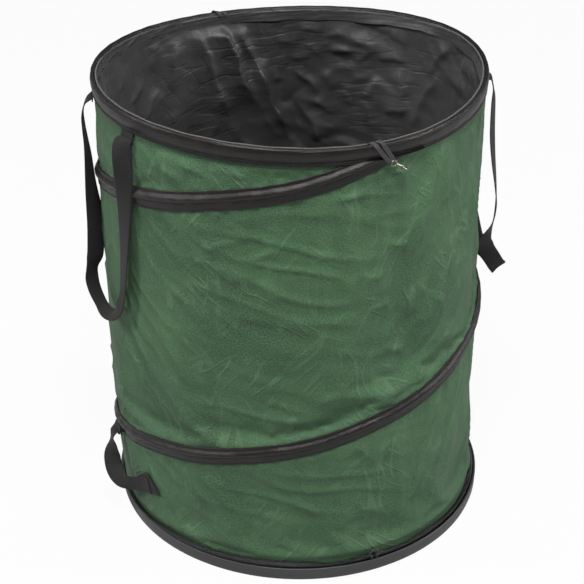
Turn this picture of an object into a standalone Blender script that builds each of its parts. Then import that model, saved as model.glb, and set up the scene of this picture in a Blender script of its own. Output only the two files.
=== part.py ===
# Pop-up garden waste bag: a fabric drum held open by a coiled spring wire, on a hard plastic tray.
# Units are metres, +Z is up, the front of the photograph looks along +Y.
# The origin is the middle of the tray's underside.
import bpy
import bmesh
from math import ceil, cos, floor, pi, radians, sin
from mathutils import Matrix, Vector

# Driving dimensions of the whole bag
TRAY_RADIUS = 0.280
BAG_HEIGHT = 0.685
RIM_LEAN = 0.013  # the middle of the rim stands this far towards -X from the middle of the tray
STEPS = 48  # flats round the drum, shared by every layer so that the layers stay apart

# Clearances
FIT = 0.0003  # between pieces that touch

# Plastic tray
TRAY_FLOOR = 0.003
TRAY_WALL = 0.003
TRAY_LIP_HEIGHT = 0.022
TRAY_FOOT_ROUND = 0.004
TRAY_EDGE_ROUND = 0.0005

# Cloth, tape and wire
SKIN_THICKNESS = 0.0012
LINING_THICKNESS = 0.0008
FLOOR_PANEL_THICKNESS = 0.0015
TAPE_THICKNESS = 0.0010
WIRE_DIAMETER = 0.0040
BINDING_SETBACK = 0.0022  # the base binding stays this far inside the tray's outer radius
SLEEVE_SHOULDER = 0.0022  # from the wire's outside to where its sleeve lies flat again

# Base binding
BINDING_FOOT = 0.0055
BINDING_ABOVE_TRAY = 0.0125
BASE_HOOP_ABOVE_TRAY = 0.0055

# Rim sleeve
RIM_SLEEVE_DROP = 0.027
RIM_FACING_DROP = 0.0165
PIPING_DIAMETER = 0.0022

# Spiral sleeve and its wire
SPIRAL_TURNS = 1.52  # of the wire between the base binding and the rim sleeve
SPIRAL_MEETS_RIM = -71.0  # azimuth in degrees where the spiral's middle runs in under the rim sleeve
SPIRAL_TAPE_WIDTH = 0.025
SPIRAL_WIRE_RISE = 0.0030  # the wire runs this far above the tape's middle

# Rivets between tray and floor panel
RIVET_COUNT = 4
RIVET_CIRCLE = 0.200
RIVET_FIRST_AZIMUTH = 45.0
RIVET_SHANK_DIAMETER = 0.005
RIVET_HEAD_DIAMETER = 0.012
RIVET_HEAD_THICKNESS = 0.0009
RIVET_SET_DIAMETER = 0.009
RIVET_SET_THICKNESS = 0.0015
RECESS_DEPTH = 0.0015
WASHER_DIAMETER = 0.014
WASHER_THICKNESS = 0.0010

# Webbing handles
WEBBING_WIDTH = 0.025
WEBBING_THICKNESS = 0.0015
CLOSURE_AZIMUTH = -66.0  # of the front closure; the second closure is opposite
HANDLE_FROM_CLOSURE = -90.0
HANDLE_HALF_SPAN = 16.5  # degrees from the handle's middle to each sewn end
HANDLE_DROP = 0.320
HANDLE_BOW = 0.040
HANDLE_STANDOFF = 0.0062  # of a sewn end from the skin, at the handle's hinge line
HANDLE_WAIST = 0.55  # the loop's width near its bend, as a share of its width at the ends
HANDLE_PATCH_HEIGHT = 0.0095

# Tipping handle near the base
TIPPING_AZIMUTH = -150.0
TIPPING_HALF_SPAN = 12.0
TIPPING_UNDER_SPIRAL = 0.0049  # from the tape's lower edge down to the high sewn end
TIPPING_END_STEP = 0.014  # the low sewn end lies this far below the high one
TIPPING_STANDOFF = 0.0054
TIPPING_DROP = 0.059
TIPPING_TILT = 37.0
TIPPING_PATCH_HEIGHT = 0.0075

# Closures: a doubled tape with a wire hook at the rim, and a cord loop at the base
CLOSURE_SLANT = 40.0
CLOSURE_TAPE_LENGTH = 0.034
CLOSURE_TAPE_WIDTH = 0.016
CLOSURE_TAPE_END_WIDTH = 0.011
CLOSURE_STRAND = 0.0055
CLOSURE_END_BAR = 0.0026
HOOK_WIRE = 0.0018
HOOK_EYE_ROOM = 0.0008
HOOK_LENGTH = 0.019
HOOK_BEND_RADIUS = 0.0040
HOOK_TIP = 0.0050
LOOP_CORD = 0.0026
LOOP_RADIUS = 0.0063
LOOP_FOOT_SPREAD = 0.0080
LOOP_RISE = 0.0092

# Sizes that follow from those above
wall_radius = TRAY_RADIUS - BINDING_SETBACK - TAPE_THICKNESS - 2 * FIT - WIRE_DIAMETER
lining_radius = wall_radius - SKIN_THICKNESS - FIT
wall_inside = lining_radius - LINING_THICKNESS
flat_tape = wall_radius + FIT + TAPE_THICKNESS / 2  # middle of a tape that lies on the skin
wire_line = wall_radius + FIT + WIRE_DIAMETER / 2
over_wire = wire_line + WIRE_DIAMETER / 2 + FIT + TAPE_THICKNESS / 2
sleeve_outside = over_wire + TAPE_THICKNESS / 2
wall_foot = TRAY_FLOOR + FIT + FLOOR_PANEL_THICKNESS + FIT
wall_top = BAG_HEIGHT - TAPE_THICKNESS - FIT
rim_hoop_height = BAG_HEIGHT - TAPE_THICKNESS - FIT - WIRE_DIAMETER / 2
rim_sleeve_foot = BAG_HEIGHT - RIM_SLEEVE_DROP
base_hoop_height = TRAY_LIP_HEIGHT + BASE_HOOP_ABOVE_TRAY
binding_top = TRAY_LIP_HEIGHT + BINDING_ABOVE_TRAY
spiral_pitch = (rim_sleeve_foot - binding_top) / SPIRAL_TURNS
hinge_height = rim_sleeve_foot - HANDLE_PATCH_HEIGHT
hat_reach = WIRE_DIAMETER / 2 + SLEEVE_SHOULDER  # half height of the tape's bulge over the wire
hat_flat = WIRE_DIAMETER / 2 - 0.1 * SLEEVE_SHOULDER  # half height of the bulge's flat outside

# Scene set-up
for old in list(bpy.data.objects):
    bpy.data.objects.remove(old, do_unlink=True)

bag_collection = bpy.data.collections.new("pop_up_garden_bag")
bpy.context.scene.collection.children.link(bag_collection)
cutter_collection = bpy.data.collections.new("cutters")
cutter_collection.hide_render = True
bpy.context.scene.collection.children.link(cutter_collection)


def make_material(name, colour, roughness, metallic=0.0):
    material = bpy.data.materials.new(name)
    material.use_nodes = True
    shader = material.node_tree.nodes["Principled BSDF"]
    shader.inputs["Base Color"].default_value = (*colour, 1.0)
    shader.inputs["Roughness"].default_value = roughness
    shader.inputs["Metallic"].default_value = metallic
    return material


green_cloth = make_material("green_cloth", (0.060, 0.135, 0.070), 0.75)
lining_cloth = make_material("lining_cloth", (0.035, 0.035, 0.037), 0.45)
floor_cloth = make_material("floor_cloth", (0.030, 0.030, 0.032), 0.60)
binding_tape = make_material("binding_tape", (0.022, 0.019, 0.018), 0.80)
piping_cord = make_material("piping_cord", (0.230, 0.230, 0.225), 0.70)
webbing = make_material("webbing", (0.010, 0.010, 0.011), 0.75)
closure_elastic = make_material("closure_elastic", (0.045, 0.043, 0.045), 0.70)
loop_cord = make_material("loop_cord", (0.030, 0.032, 0.030), 0.65)
tray_plastic = make_material("tray_plastic", (0.068, 0.068, 0.070), 0.45)
rivet_plastic = make_material("rivet_plastic", (0.020, 0.020, 0.021), 0.50)
spring_steel = make_material("spring_steel", (0.350, 0.350, 0.360), 0.30, 1.0)
hook_steel = make_material("hook_steel", (0.420, 0.400, 0.370), 0.28, 1.0)


# Places on the leaning drum
def lean_at(height):
    return Vector((-RIM_LEAN * height / BAG_HEIGHT, 0, 0))


def outward(azimuth):
    return Vector((cos(radians(azimuth)), sin(radians(azimuth)), 0))


def sideways(azimuth):
    return Vector((-sin(radians(azimuth)), cos(radians(azimuth)), 0))


def on_drum(azimuth, radius, height):
    return outward(azimuth) * radius + Vector((0, 0, height)) + lean_at(height)


def on_rim(azimuth, radius, height):
    """A place on what the rim carries, which stands upright above the rim's own middle."""
    return outward(azimuth) * radius + Vector((0, 0, height)) + lean_at(BAG_HEIGHT)


# Modelling helpers
def add_object(name, mesh, material, collection=bag_collection):
    mesh.name = name
    obj = bpy.data.objects.new(name, mesh)
    if material:
        mesh.materials.clear()
        mesh.materials.append(material)
    collection.objects.link(obj)
    return obj


def settle(obj):
    """Applies the object's modifiers and its place, and leaves a plain mesh in world coordinates."""
    bpy.context.view_layer.update()
    evaluated = obj.evaluated_get(bpy.context.evaluated_depsgraph_get())
    mesh = bpy.data.meshes.new_from_object(evaluated)
    mesh.transform(obj.matrix_world)
    clean = bmesh.new()
    clean.from_mesh(mesh)
    bmesh.ops.remove_doubles(clean, verts=clean.verts, dist=1e-6)
    bmesh.ops.recalc_face_normals(clean, faces=clean.faces)
    clean.to_mesh(mesh)
    clean.free()
    name = obj.name
    material = obj.data.materials[0] if obj.data.materials else None
    collection = obj.users_collection[0]
    bpy.data.objects.remove(obj, do_unlink=True)
    return add_object(name, mesh, material, collection)


def lean_over(obj):
    """Slants a piece of the drum, so that it leans as far as the rim does."""
    slant = Matrix.Identity(4)
    slant[0][2] = -RIM_LEAN / BAG_HEIGHT
    obj.data.transform(slant)
    return obj


def smooth(obj):
    obj.data.shade_smooth()
    return obj


def profile_object(name, points, material):
    """An open profile in the XZ plane, as points of (radius, height)."""
    mesh = bpy.data.meshes.new(name)
    edges = [(i, i + 1) for i in range(len(points) - 1)]
    mesh.from_pydata([(r, 0, z) for r, z in points], edges, [])
    return add_object(name, mesh, material)


def turned(name, points, material):
    """A solid turned from a profile that starts and ends on the axis."""
    obj = profile_object(name, points, material)
    screw = obj.modifiers.new("turn", "SCREW")
    screw.steps = screw.render_steps = STEPS
    screw.use_merge_vertices = True
    screw.merge_threshold = 1e-5
    return smooth(settle(obj))


def turned_cloth(name, points, material, thickness):
    """A cloth shell turned from the middle line of its thickness."""
    obj = profile_object(name, points, material)
    screw = obj.modifiers.new("turn", "SCREW")
    screw.steps = screw.render_steps = STEPS
    screw.use_merge_vertices = True
    screw.merge_threshold = 1e-5
    thicken = obj.modifiers.new("thicken", "SOLIDIFY")
    thicken.thickness = thickness
    thicken.offset = 0
    thicken.use_even_offset = True
    return smooth(lean_over(settle(obj)))


def tube(name, points, diameter, material, closed=False, resolution=2):
    """A round wire or cord along points."""
    curve = bpy.data.curves.new(name, "CURVE")
    curve.dimensions = "3D"
    curve.bevel_depth = diameter / 2
    curve.bevel_resolution = resolution
    curve.use_fill_caps = True
    spline = curve.splines.new("POLY")
    spline.points.add(len(points) - 1)
    for point, place in zip(spline.points, points):
        point.co = (*place, 1)
    spline.use_cyclic_u = closed
    curve.materials.append(material)
    obj = bpy.data.objects.new(name, curve)
    bag_collection.objects.link(obj)
    return smooth(settle(obj))


def hoop(name, radius, height, diameter, material, resolution=1):
    """A closed ring of wire or cord, with its corners where the drum's flats meet."""
    points = []
    for step in range(STEPS):
        points.append(outward(360 * step / STEPS) * radius + Vector((0, 0, height)))
    return lean_over(tube(name, points, diameter, material, True, resolution))


def strip(name, stations, thickness, material):
    """A tape along stations, each a pair of edge points, with a real thickness."""
    sheet = bmesh.new()
    pairs = [[sheet.verts.new(p) for p in pair] for pair in stations]
    for (a, b), (c, d) in zip(pairs, pairs[1:]):
        sheet.faces.new((a, b, d, c))
    mesh = bpy.data.meshes.new(name)
    sheet.to_mesh(mesh)
    sheet.free()
    obj = add_object(name, mesh, material)
    thicken = obj.modifiers.new("thicken", "SOLIDIFY")
    thicken.thickness = thickness
    thicken.offset = 0
    thicken.use_even_offset = True
    return smooth(settle(obj))


def round_cutter(name, radius, foot, top, place):
    mesh = bpy.data.meshes.new(name)
    drum = bmesh.new()
    shift = Matrix.Translation(place + Vector((0, 0, (foot + top) / 2)))
    bmesh.ops.create_cone(drum, cap_ends=True, segments=16, radius1=radius, radius2=radius,
                          depth=top - foot, matrix=shift)
    drum.to_mesh(mesh)
    drum.free()
    cutter = add_object(name, mesh, None, cutter_collection)
    cutter.display_type = "WIRE"
    cutter.hide_render = True
    return cutter


def cut(obj, cutters):
    for cutter in cutters:
        hole = obj.modifiers.new("cut", "BOOLEAN")
        hole.operation = "DIFFERENCE"
        hole.solver = "EXACT"
        hole.object = cutter
    return smooth(settle(obj))


def pivot(name, place):
    empty = bpy.data.objects.new(name, None)
    empty.empty_display_size = 0.03
    empty.location = place
    bag_collection.objects.link(empty)
    bpy.context.view_layer.update()
    return empty


def hang_on(parent, *objects):
    bpy.context.view_layer.update()
    for obj in objects:
        obj.parent = parent
        obj.matrix_parent_inverse = parent.matrix_world.inverted()


# Plastic tray with its rivet holes
def rivet_places():
    azimuths = [RIVET_FIRST_AZIMUTH + 360 * i / RIVET_COUNT for i in range(RIVET_COUNT)]
    return [outward(azimuth) * RIVET_CIRCLE for azimuth in azimuths]


def make_tray():
    inside = TRAY_RADIUS - TRAY_WALL
    edge = TRAY_EDGE_ROUND
    foot = TRAY_FOOT_ROUND
    profile = [
        (0, TRAY_FLOOR),
        (inside, TRAY_FLOOR),
        (inside, TRAY_LIP_HEIGHT - edge),
        (inside + edge, TRAY_LIP_HEIGHT),
        (TRAY_RADIUS - edge, TRAY_LIP_HEIGHT),
        (TRAY_RADIUS, TRAY_LIP_HEIGHT - edge),
    ]
    for angle in (0, 30, 60, 90):
        reach = foot * (1 - cos(radians(angle)))
        rise = foot * (1 - sin(radians(angle)))
        profile.append((TRAY_RADIUS - reach, rise))
    profile.append((0, 0))
    tray = turned("base_tray", profile, tray_plastic)
    cutters = []
    for i, place in enumerate(rivet_places()):
        hole = RIVET_SHANK_DIAMETER / 2 + FIT
        recess = RIVET_HEAD_DIAMETER / 2 + FIT
        cutters.append(round_cutter(f"tray_hole_{i + 1}", hole, -0.01, 0.01, place))
        cutters.append(round_cutter(f"tray_recess_{i + 1}", recess, -0.01, RECESS_DEPTH, place))
    return cut(tray, cutters)


def make_floor_panel():
    foot = TRAY_FLOOR + FIT
    top = foot + FLOOR_PANEL_THICKNESS
    profile = [(0, top), (wall_radius, top), (wall_radius, foot), (0, foot)]
    panel = turned("floor_panel", profile, floor_cloth)
    hole = RIVET_SHANK_DIAMETER / 2 + FIT
    cutters = []
    for i, place in enumerate(rivet_places()):
        cutters.append(round_cutter(f"panel_hole_{i + 1}", hole, -0.01, 0.01, place))
    return cut(panel, cutters)


def turned_at(name, profile, place, material, steps=16):
    obj = profile_object(name, profile, material)
    obj.location = place
    screw = obj.modifiers.new("turn", "SCREW")
    screw.steps = screw.render_steps = steps
    screw.use_merge_vertices = True
    screw.merge_threshold = 1e-5
    return settle(obj)


def make_rivets():
    shank = RIVET_SHANK_DIAMETER / 2
    head_top = RECESS_DEPTH - FIT
    head_foot = head_top - RIVET_HEAD_THICKNESS
    set_foot = wall_foot + WASHER_THICKNESS + FIT
    set_top = set_foot + RIVET_SET_THICKNESS
    profile = [
        (0, set_top),
        (RIVET_SET_DIAMETER / 2 * 0.6, set_top),
        (RIVET_SET_DIAMETER / 2, set_foot + RIVET_SET_THICKNESS / 3),
        (RIVET_SET_DIAMETER / 2, set_foot),
        (shank, set_foot),
        (shank, head_top),
        (RIVET_HEAD_DIAMETER / 2, head_top),
        (RIVET_HEAD_DIAMETER / 2, head_foot),
        (0, head_foot),
    ]
    rivets = []
    for i, place in enumerate(rivet_places()):
        rivets.append(turned_at(f"base_rivet_{i + 1}", profile, place, rivet_plastic))
    return rivets


def make_washers():
    hole = RIVET_SHANK_DIAMETER / 2 + FIT
    edge = WASHER_DIAMETER / 2
    top = wall_foot + WASHER_THICKNESS
    ring = [(hole, top), (edge, top), (edge, wall_foot), (hole, wall_foot), (hole, top)]
    washers = []
    for i, place in enumerate(rivet_places()):
        washers.append(turned_at(f"rivet_washer_{i + 1}", ring, place, rivet_plastic))
    return washers


# Cloth walls of the drum
def make_side_panel():
    middle = wall_radius - SKIN_THICKNESS / 2
    profile = [(middle, wall_top), (middle, BAG_HEIGHT / 2), (middle, wall_foot)]
    return turned_cloth("side_panel", profile, green_cloth, SKIN_THICKNESS)


def make_lining():
    middle = lining_radius - LINING_THICKNESS / 2
    profile = [(middle, wall_top), (middle, BAG_HEIGHT / 2), (middle, wall_foot)]
    return turned_cloth("inner_lining", profile, lining_cloth, LINING_THICKNESS)


# Base binding over the lower hoop of the spring wire
def make_base_binding():
    profile = [
        (flat_tape, binding_top),
        (flat_tape, base_hoop_height + hat_reach),
        (over_wire, base_hoop_height + hat_flat),
        (over_wire, base_hoop_height - hat_flat),
        (flat_tape, base_hoop_height - hat_reach),
        (flat_tape, BINDING_FOOT),
    ]
    return turned_cloth("base_binding", profile, binding_tape, TAPE_THICKNESS)


# Rim: sleeve over the top hoop, and the light piping on its inner edge
def make_rim_sleeve():
    facing = wall_inside - FIT - TAPE_THICKNESS / 2
    top = BAG_HEIGHT - TAPE_THICKNESS / 2
    corner = TAPE_THICKNESS / 2
    profile = [
        (facing, BAG_HEIGHT - RIM_FACING_DROP),
        (facing, top - corner),
        (facing + corner, top),
        (over_wire - 3 * corner, top),
        (over_wire, rim_hoop_height + 0.4 * hat_flat),
        (over_wire, rim_hoop_height - hat_flat),
        (flat_tape, rim_hoop_height - hat_reach),
        (flat_tape, rim_sleeve_foot),
    ]
    return turned_cloth("rim_sleeve", profile, binding_tape, TAPE_THICKNESS)


def make_piping():
    radius = wall_inside - FIT - TAPE_THICKNESS - FIT - PIPING_DIAMETER / 2
    height = BAG_HEIGHT - PIPING_DIAMETER / 2 - FIT
    return hoop("rim_piping", radius, height, PIPING_DIAMETER, piping_cord)


# Spiral sleeve and the spring wire in it
def spiral_height(azimuth):
    """Height of the spiral's middle; its azimuth runs on past whole turns, downwards to the left."""
    return rim_sleeve_foot + spiral_pitch * (azimuth - SPIRAL_MEETS_RIM) / 360


def spiral_azimuth(height):
    return SPIRAL_MEETS_RIM + 360 * (height - rim_sleeve_foot) / spiral_pitch


def make_spiral_sleeve():
    flat = 360 / STEPS
    half = SPIRAL_TAPE_WIDTH / 2
    first = floor(spiral_azimuth(binding_top - half) / flat) * flat
    last = ceil(spiral_azimuth(rim_sleeve_foot + half) / flat) * flat
    middle = spiral_height(first)
    wire = middle + SPIRAL_WIRE_RISE
    profile = [
        (flat_tape, middle + half),
        (flat_tape, wire + hat_reach),
        (over_wire, wire + hat_flat),
        (over_wire, wire - hat_flat),
        (flat_tape, wire - hat_reach),
        (flat_tape, middle - half),
    ]
    obj = profile_object("spiral_sleeve", profile, binding_tape)
    screw = obj.modifiers.new("wind", "SCREW")
    screw.angle = radians(last - first)
    screw.screw_offset = spiral_height(last) - middle
    screw.steps = screw.render_steps = round((last - first) / flat)
    obj.rotation_euler.z = radians(first)
    obj = settle(obj)
    trim = bmesh.new()
    trim.from_mesh(obj.data)
    clear = FIT + TAPE_THICKNESS / 2
    for height, side in ((rim_sleeve_foot - clear, 1), (binding_top + clear, -1)):
        everything = trim.verts[:] + trim.edges[:] + trim.faces[:]
        bmesh.ops.bisect_plane(trim, geom=everything, plane_co=(0, 0, height),
                               plane_no=(0, 0, side), clear_outer=True)
    bmesh.ops.remove_doubles(trim, verts=trim.verts, dist=1e-5)
    trim.to_mesh(obj.data)
    trim.free()
    thicken = obj.modifiers.new("thicken", "SOLIDIFY")
    thicken.thickness = TAPE_THICKNESS
    thicken.offset = 0
    thicken.use_even_offset = True
    return smooth(lean_over(settle(obj)))


def make_spiral_spring():
    flat = 360 / STEPS
    room = WIRE_DIAMETER / 2 + FIT + SPIRAL_WIRE_RISE
    first = ceil(spiral_azimuth(binding_top + WIRE_DIAMETER / 2 + FIT - SPIRAL_WIRE_RISE) / flat)
    last = floor(spiral_azimuth(rim_sleeve_foot - room) / flat)
    points = []
    for step in range(first, last + 1):
        azimuth = step * flat
        height = spiral_height(azimuth) + SPIRAL_WIRE_RISE
        points.append(outward(azimuth) * wire_line + Vector((0, 0, height)))
    return lean_over(tube("spiral_spring", points, WIRE_DIAMETER, spring_steel, False, 1))


# Webbing loops
def webbing_stations(first_end, second_end, down, drop, bow, waist, count=28):
    """Edge points of a loop that hangs from two sewn ends. It lies flat at the ends and turns a
    quarter on each strand, so that it bends over its face at the bottom."""
    middle = (first_end + second_end) / 2
    half_span = (second_end - first_end) / 2
    along = half_span.normalized()
    away = along.cross(down).normalized()
    path = []
    for i in range(count):
        angle = pi * i / (count - 1)
        depth = sin(angle) ** 0.8
        side = -cos(angle)
        spread = abs(side) ** 0.55 * (1 if side > 0 else -1)
        narrow = 1 - (1 - waist) * depth
        curve_out = 1 - (1 - depth) ** 2
        hang = down * drop * depth + away * bow * curve_out
        path.append(middle + half_span * spread * narrow + hang)
    stations = []
    for i, place in enumerate(path):
        at_end = i in (0, count - 1)
        ahead = down if at_end else (path[i + 1] - path[i - 1]).normalized()
        share = i / (count - 1)
        turn = min(share / 0.35, 1.0) if share < 0.5 else 2.0 - min((1 - share) / 0.35, 1.0)
        across = along * cos(turn * pi / 2) + away * sin(turn * pi / 2)
        across = (across - ahead * across.dot(ahead)).normalized()
        stations.append((place - across * WEBBING_WIDTH / 2, place + across * WEBBING_WIDTH / 2))
    return stations


def handle_azimuth(side):
    return CLOSURE_AZIMUTH + HANDLE_FROM_CLOSURE + (180 if side == "right" else 0)


def handle_ends(side):
    middle = handle_azimuth(side)
    radius = wall_radius + HANDLE_STANDOFF
    return [on_drum(middle + turn, radius, hinge_height - FIT)
            for turn in (-HANDLE_HALF_SPAN, HANDLE_HALF_SPAN)]


def make_carry_handle(side):
    first_end, second_end = handle_ends(side)
    down = Vector((0, 0, -1))
    stations = webbing_stations(second_end, first_end, down, HANDLE_DROP, HANDLE_BOW, HANDLE_WAIST)
    handle = strip(f"{side}_carry_handle", stations, WEBBING_THICKNESS, webbing)
    hinge = pivot(f"{side}_handle_hinge", (first_end + second_end) / 2)
    return handle, hinge


def sewn_patch(name, azimuth, foot, top, place_on):
    """A short webbing end that lies flat on the skin."""
    half_turn = WEBBING_WIDTH / wall_radius * 180 / pi / 2
    radius = wall_radius + FIT + WEBBING_THICKNESS / 2
    columns = []
    for turn in (-half_turn, 0, half_turn):
        columns.append((place_on(azimuth + turn, radius, foot), place_on(azimuth + turn, radius, top)))
    return strip(name, columns, WEBBING_THICKNESS, webbing)


def make_handle_patches():
    patches = []
    for side in ("left", "right"):
        for turn in (-HANDLE_HALF_SPAN, HANDLE_HALF_SPAN):
            azimuth = handle_azimuth(side) + turn
            name = f"{side}_handle_sewn_end_{len(patches) % 2 + 1}"
            patches.append(sewn_patch(name, azimuth, hinge_height, rim_sleeve_foot - FIT, on_drum))
    return patches


def tipping_heights():
    """Heights of the handle's two ends. The high one is sewn just under the spiral's last turn."""
    spiral_foot = spiral_height(TIPPING_AZIMUTH - TIPPING_HALF_SPAN - 360) - SPIRAL_TAPE_WIDTH / 2
    high = spiral_foot - TIPPING_UNDER_SPIRAL - TIPPING_PATCH_HEIGHT
    return high, high - TIPPING_END_STEP


def tipping_ends():
    radius = wall_radius + TIPPING_STANDOFF
    high_foot, low_foot = tipping_heights()
    high = on_drum(TIPPING_AZIMUTH - TIPPING_HALF_SPAN, radius, high_foot)
    low = on_drum(TIPPING_AZIMUTH + TIPPING_HALF_SPAN, radius, low_foot)
    return high, low


def make_tipping_handle():
    high, low = tipping_ends()
    along = (high - low).normalized()
    tilt = radians(TIPPING_TILT)
    down = Vector((0, 0, -1)) * cos(tilt) + outward(TIPPING_AZIMUTH) * sin(tilt)
    down = (down - along * down.dot(along)).normalized()
    stations = webbing_stations(low, high, down, TIPPING_DROP, 0.0, 0.75, 20)
    handle = strip("tipping_handle", stations, WEBBING_THICKNESS, webbing)
    hinge = pivot("tipping_handle_hinge", (high + low) / 2)
    return handle, hinge


def make_tipping_patches():
    patches = []
    for turn, foot in zip((-TIPPING_HALF_SPAN, TIPPING_HALF_SPAN), tipping_heights()):
        azimuth = TIPPING_AZIMUTH + turn
        name = f"tipping_sewn_end_{len(patches) + 1}"
        top = foot + TIPPING_PATCH_HEIGHT
        patches.append(sewn_patch(name, azimuth, foot + FIT, top, on_drum))
    return patches


# Closures
class ClosureFrame:
    """Axes of one closure: out from the drum, along its slanted tape, and across the tape."""

    def __init__(self, azimuth):
        slant = radians(CLOSURE_SLANT)
        self.azimuth = azimuth
        self.out = outward(azimuth)
        self.along = sideways(azimuth) * sin(slant) - Vector((0, 0, 1)) * cos(slant)
        self.across = sideways(azimuth) * cos(slant) + Vector((0, 0, 1)) * sin(slant)
        reach = sleeve_outside + FIT + TAPE_THICKNESS / 2
        self.hinge = on_rim(azimuth, reach, rim_hoop_height)
        self.eye = self.hinge + self.along * (CLOSURE_TAPE_LENGTH - CLOSURE_END_BAR / 2)

    def place(self, along, out):
        return self.hinge + self.along * along + self.out * out

    def flat(self, along, across):
        """The same slanted directions on the tape's own face, as (sideways, up)."""
        slant = radians(CLOSURE_SLANT)
        return (along * sin(slant) + across * cos(slant), across * sin(slant) - along * cos(slant))


def flat_outline(name, outlines, thickness, axes, material):
    """A flat piece from closed outlines, the first one solid and the rest holes."""
    curve = bpy.data.curves.new(name, "CURVE")
    curve.dimensions = "2D"
    curve.fill_mode = "BOTH"
    curve.extrude = thickness / 2
    for outline in outlines:
        spline = curve.splines.new("POLY")
        spline.points.add(len(outline) - 1)
        for point, (x, y) in zip(spline.points, outline):
            point.co = (x, y, 0, 1)
        spline.use_cyclic_u = True
    curve.materials.append(material)
    obj = bpy.data.objects.new(name, curve)
    obj.matrix_world = axes
    bag_collection.objects.link(obj)
    return settle(obj)


def make_closure_tape(name, frame):
    wide = CLOSURE_TAPE_WIDTH / 2
    narrow = CLOSURE_TAPE_END_WIDTH / 2
    gap_at_top = wide - CLOSURE_STRAND
    gap_at_end = narrow - CLOSURE_STRAND / 2
    hole_end = CLOSURE_TAPE_LENGTH - CLOSURE_END_BAR
    outside = [(-wide, -FIT), frame.flat(CLOSURE_TAPE_LENGTH, -narrow),
               frame.flat(CLOSURE_TAPE_LENGTH, narrow), (wide, -FIT)]
    hole = [(-gap_at_top, -FIT - CLOSURE_END_BAR), frame.flat(hole_end, -gap_at_end),
            frame.flat(hole_end, gap_at_end), (gap_at_top, -FIT - CLOSURE_END_BAR)]
    axes = Matrix.Identity(4)
    for column, direction in enumerate((sideways(frame.azimuth), Vector((0, 0, 1)), frame.out)):
        for row in range(3):
            axes[row][column] = direction[row]
    axes.translation = frame.hinge
    return flat_outline(name, [outside, hole], TAPE_THICKNESS, axes, closure_elastic)


def make_hook(name, frame):
    """A wire hook: an eye round the tape's end bar, a shank and a bend that opens outwards."""
    eye_radius = CLOSURE_END_BAR / 2 + HOOK_EYE_ROOM + HOOK_WIRE / 2
    middle = CLOSURE_TAPE_LENGTH - CLOSURE_END_BAR / 2
    points = []
    for degrees in range(-150, 151, 30):
        angle = radians(degrees)
        points.append(frame.place(middle - eye_radius * cos(angle), eye_radius * sin(angle)))
    shank_end = middle + HOOK_LENGTH - HOOK_BEND_RADIUS
    inner = -eye_radius * 0.15
    points = points[::-1]
    points.append(frame.place(middle + eye_radius + HOOK_WIRE, inner))
    for degrees in range(0, 181, 30):
        angle = radians(degrees)
        along = shank_end + HOOK_BEND_RADIUS * sin(angle)
        out = inner + HOOK_BEND_RADIUS * (1 - cos(angle))
        points.append(frame.place(along, out))
    points.append(frame.place(shank_end - HOOK_TIP, inner + 2 * HOOK_BEND_RADIUS))
    return tube(name, points, HOOK_WIRE, hook_steel)


def make_closure_tab(name, frame):
    """The sewn end of the closure tape, over the top of the rim sleeve."""
    half = CLOSURE_TAPE_WIDTH / 2
    lift = FIT + TAPE_THICKNESS / 2
    inner = wall_inside - FIT
    profile = [
        (inner, BAG_HEIGHT + lift),
        (over_wire - 2 * TAPE_THICKNESS, BAG_HEIGHT + lift),
        (over_wire, BAG_HEIGHT - TAPE_THICKNESS / 2 + lift),
        (sleeve_outside + lift, rim_hoop_height + hat_flat),
    ]
    stations = []
    for radius, height in profile:
        middle = on_rim(frame.azimuth, radius, height)
        side = sideways(frame.azimuth) * half
        stations.append((middle - side, middle + side))
    return strip(name, stations, TAPE_THICKNESS, closure_elastic)


def make_base_loop(name, azimuth):
    """A cord loop that stands on the tray's lip, for the hook when the bag is folded flat."""
    reach = sleeve_outside + FIT + LOOP_CORD / 2
    foot = TRAY_LIP_HEIGHT + FIT + LOOP_CORD / 2
    middle = foot + LOOP_RISE
    points = [(-LOOP_FOOT_SPREAD / 2, foot)]
    for degrees in range(-135, 136, 30):
        angle = radians(degrees)
        points.append((LOOP_RADIUS * sin(angle), middle + LOOP_RADIUS * cos(angle)))
    points.append((LOOP_FOOT_SPREAD / 2, foot))
    places = []
    for side, height in points:
        flat_place = outward(azimuth) * reach + sideways(azimuth) * side
        places.append(flat_place + Vector((0, 0, height)))
    loop = tube(name, places, LOOP_CORD, loop_cord)
    hinge = pivot(name + "_hinge", outward(azimuth) * reach + Vector((0, 0, foot)))
    return loop, hinge


# Assembly
base_pieces = [
    make_tray(),
    make_floor_panel(),
    *make_rivets(),
    *make_washers(),
    make_base_binding(),
    hoop("base_hoop", wire_line, base_hoop_height, WIRE_DIAMETER, spring_steel),
    make_side_panel(),
    make_lining(),
    make_spiral_spring(),
    make_spiral_sleeve(),
]
base_pivot = pivot("base", (0, 0, 0))
hang_on(base_pivot, *base_pieces)

rim_pivot = pivot("rim_collapse", Vector((0, 0, BAG_HEIGHT)) + lean_at(BAG_HEIGHT))
rim_pieces = [
    make_rim_sleeve(),
    make_piping(),
    hoop("rim_hoop", wire_line, rim_hoop_height, WIRE_DIAMETER, spring_steel),
    *make_handle_patches(),
]
hang_on(base_pivot, rim_pivot)
hang_on(rim_pivot, *rim_pieces)

for side in ("left", "right"):
    handle, handle_hinge = make_carry_handle(side)
    hang_on(rim_pivot, handle_hinge)
    hang_on(handle_hinge, handle)
    first_end, second_end = handle_ends(side)
    print(side, "handle hinge at", handle_hinge.location, "axis", (second_end - first_end).normalized())

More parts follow.
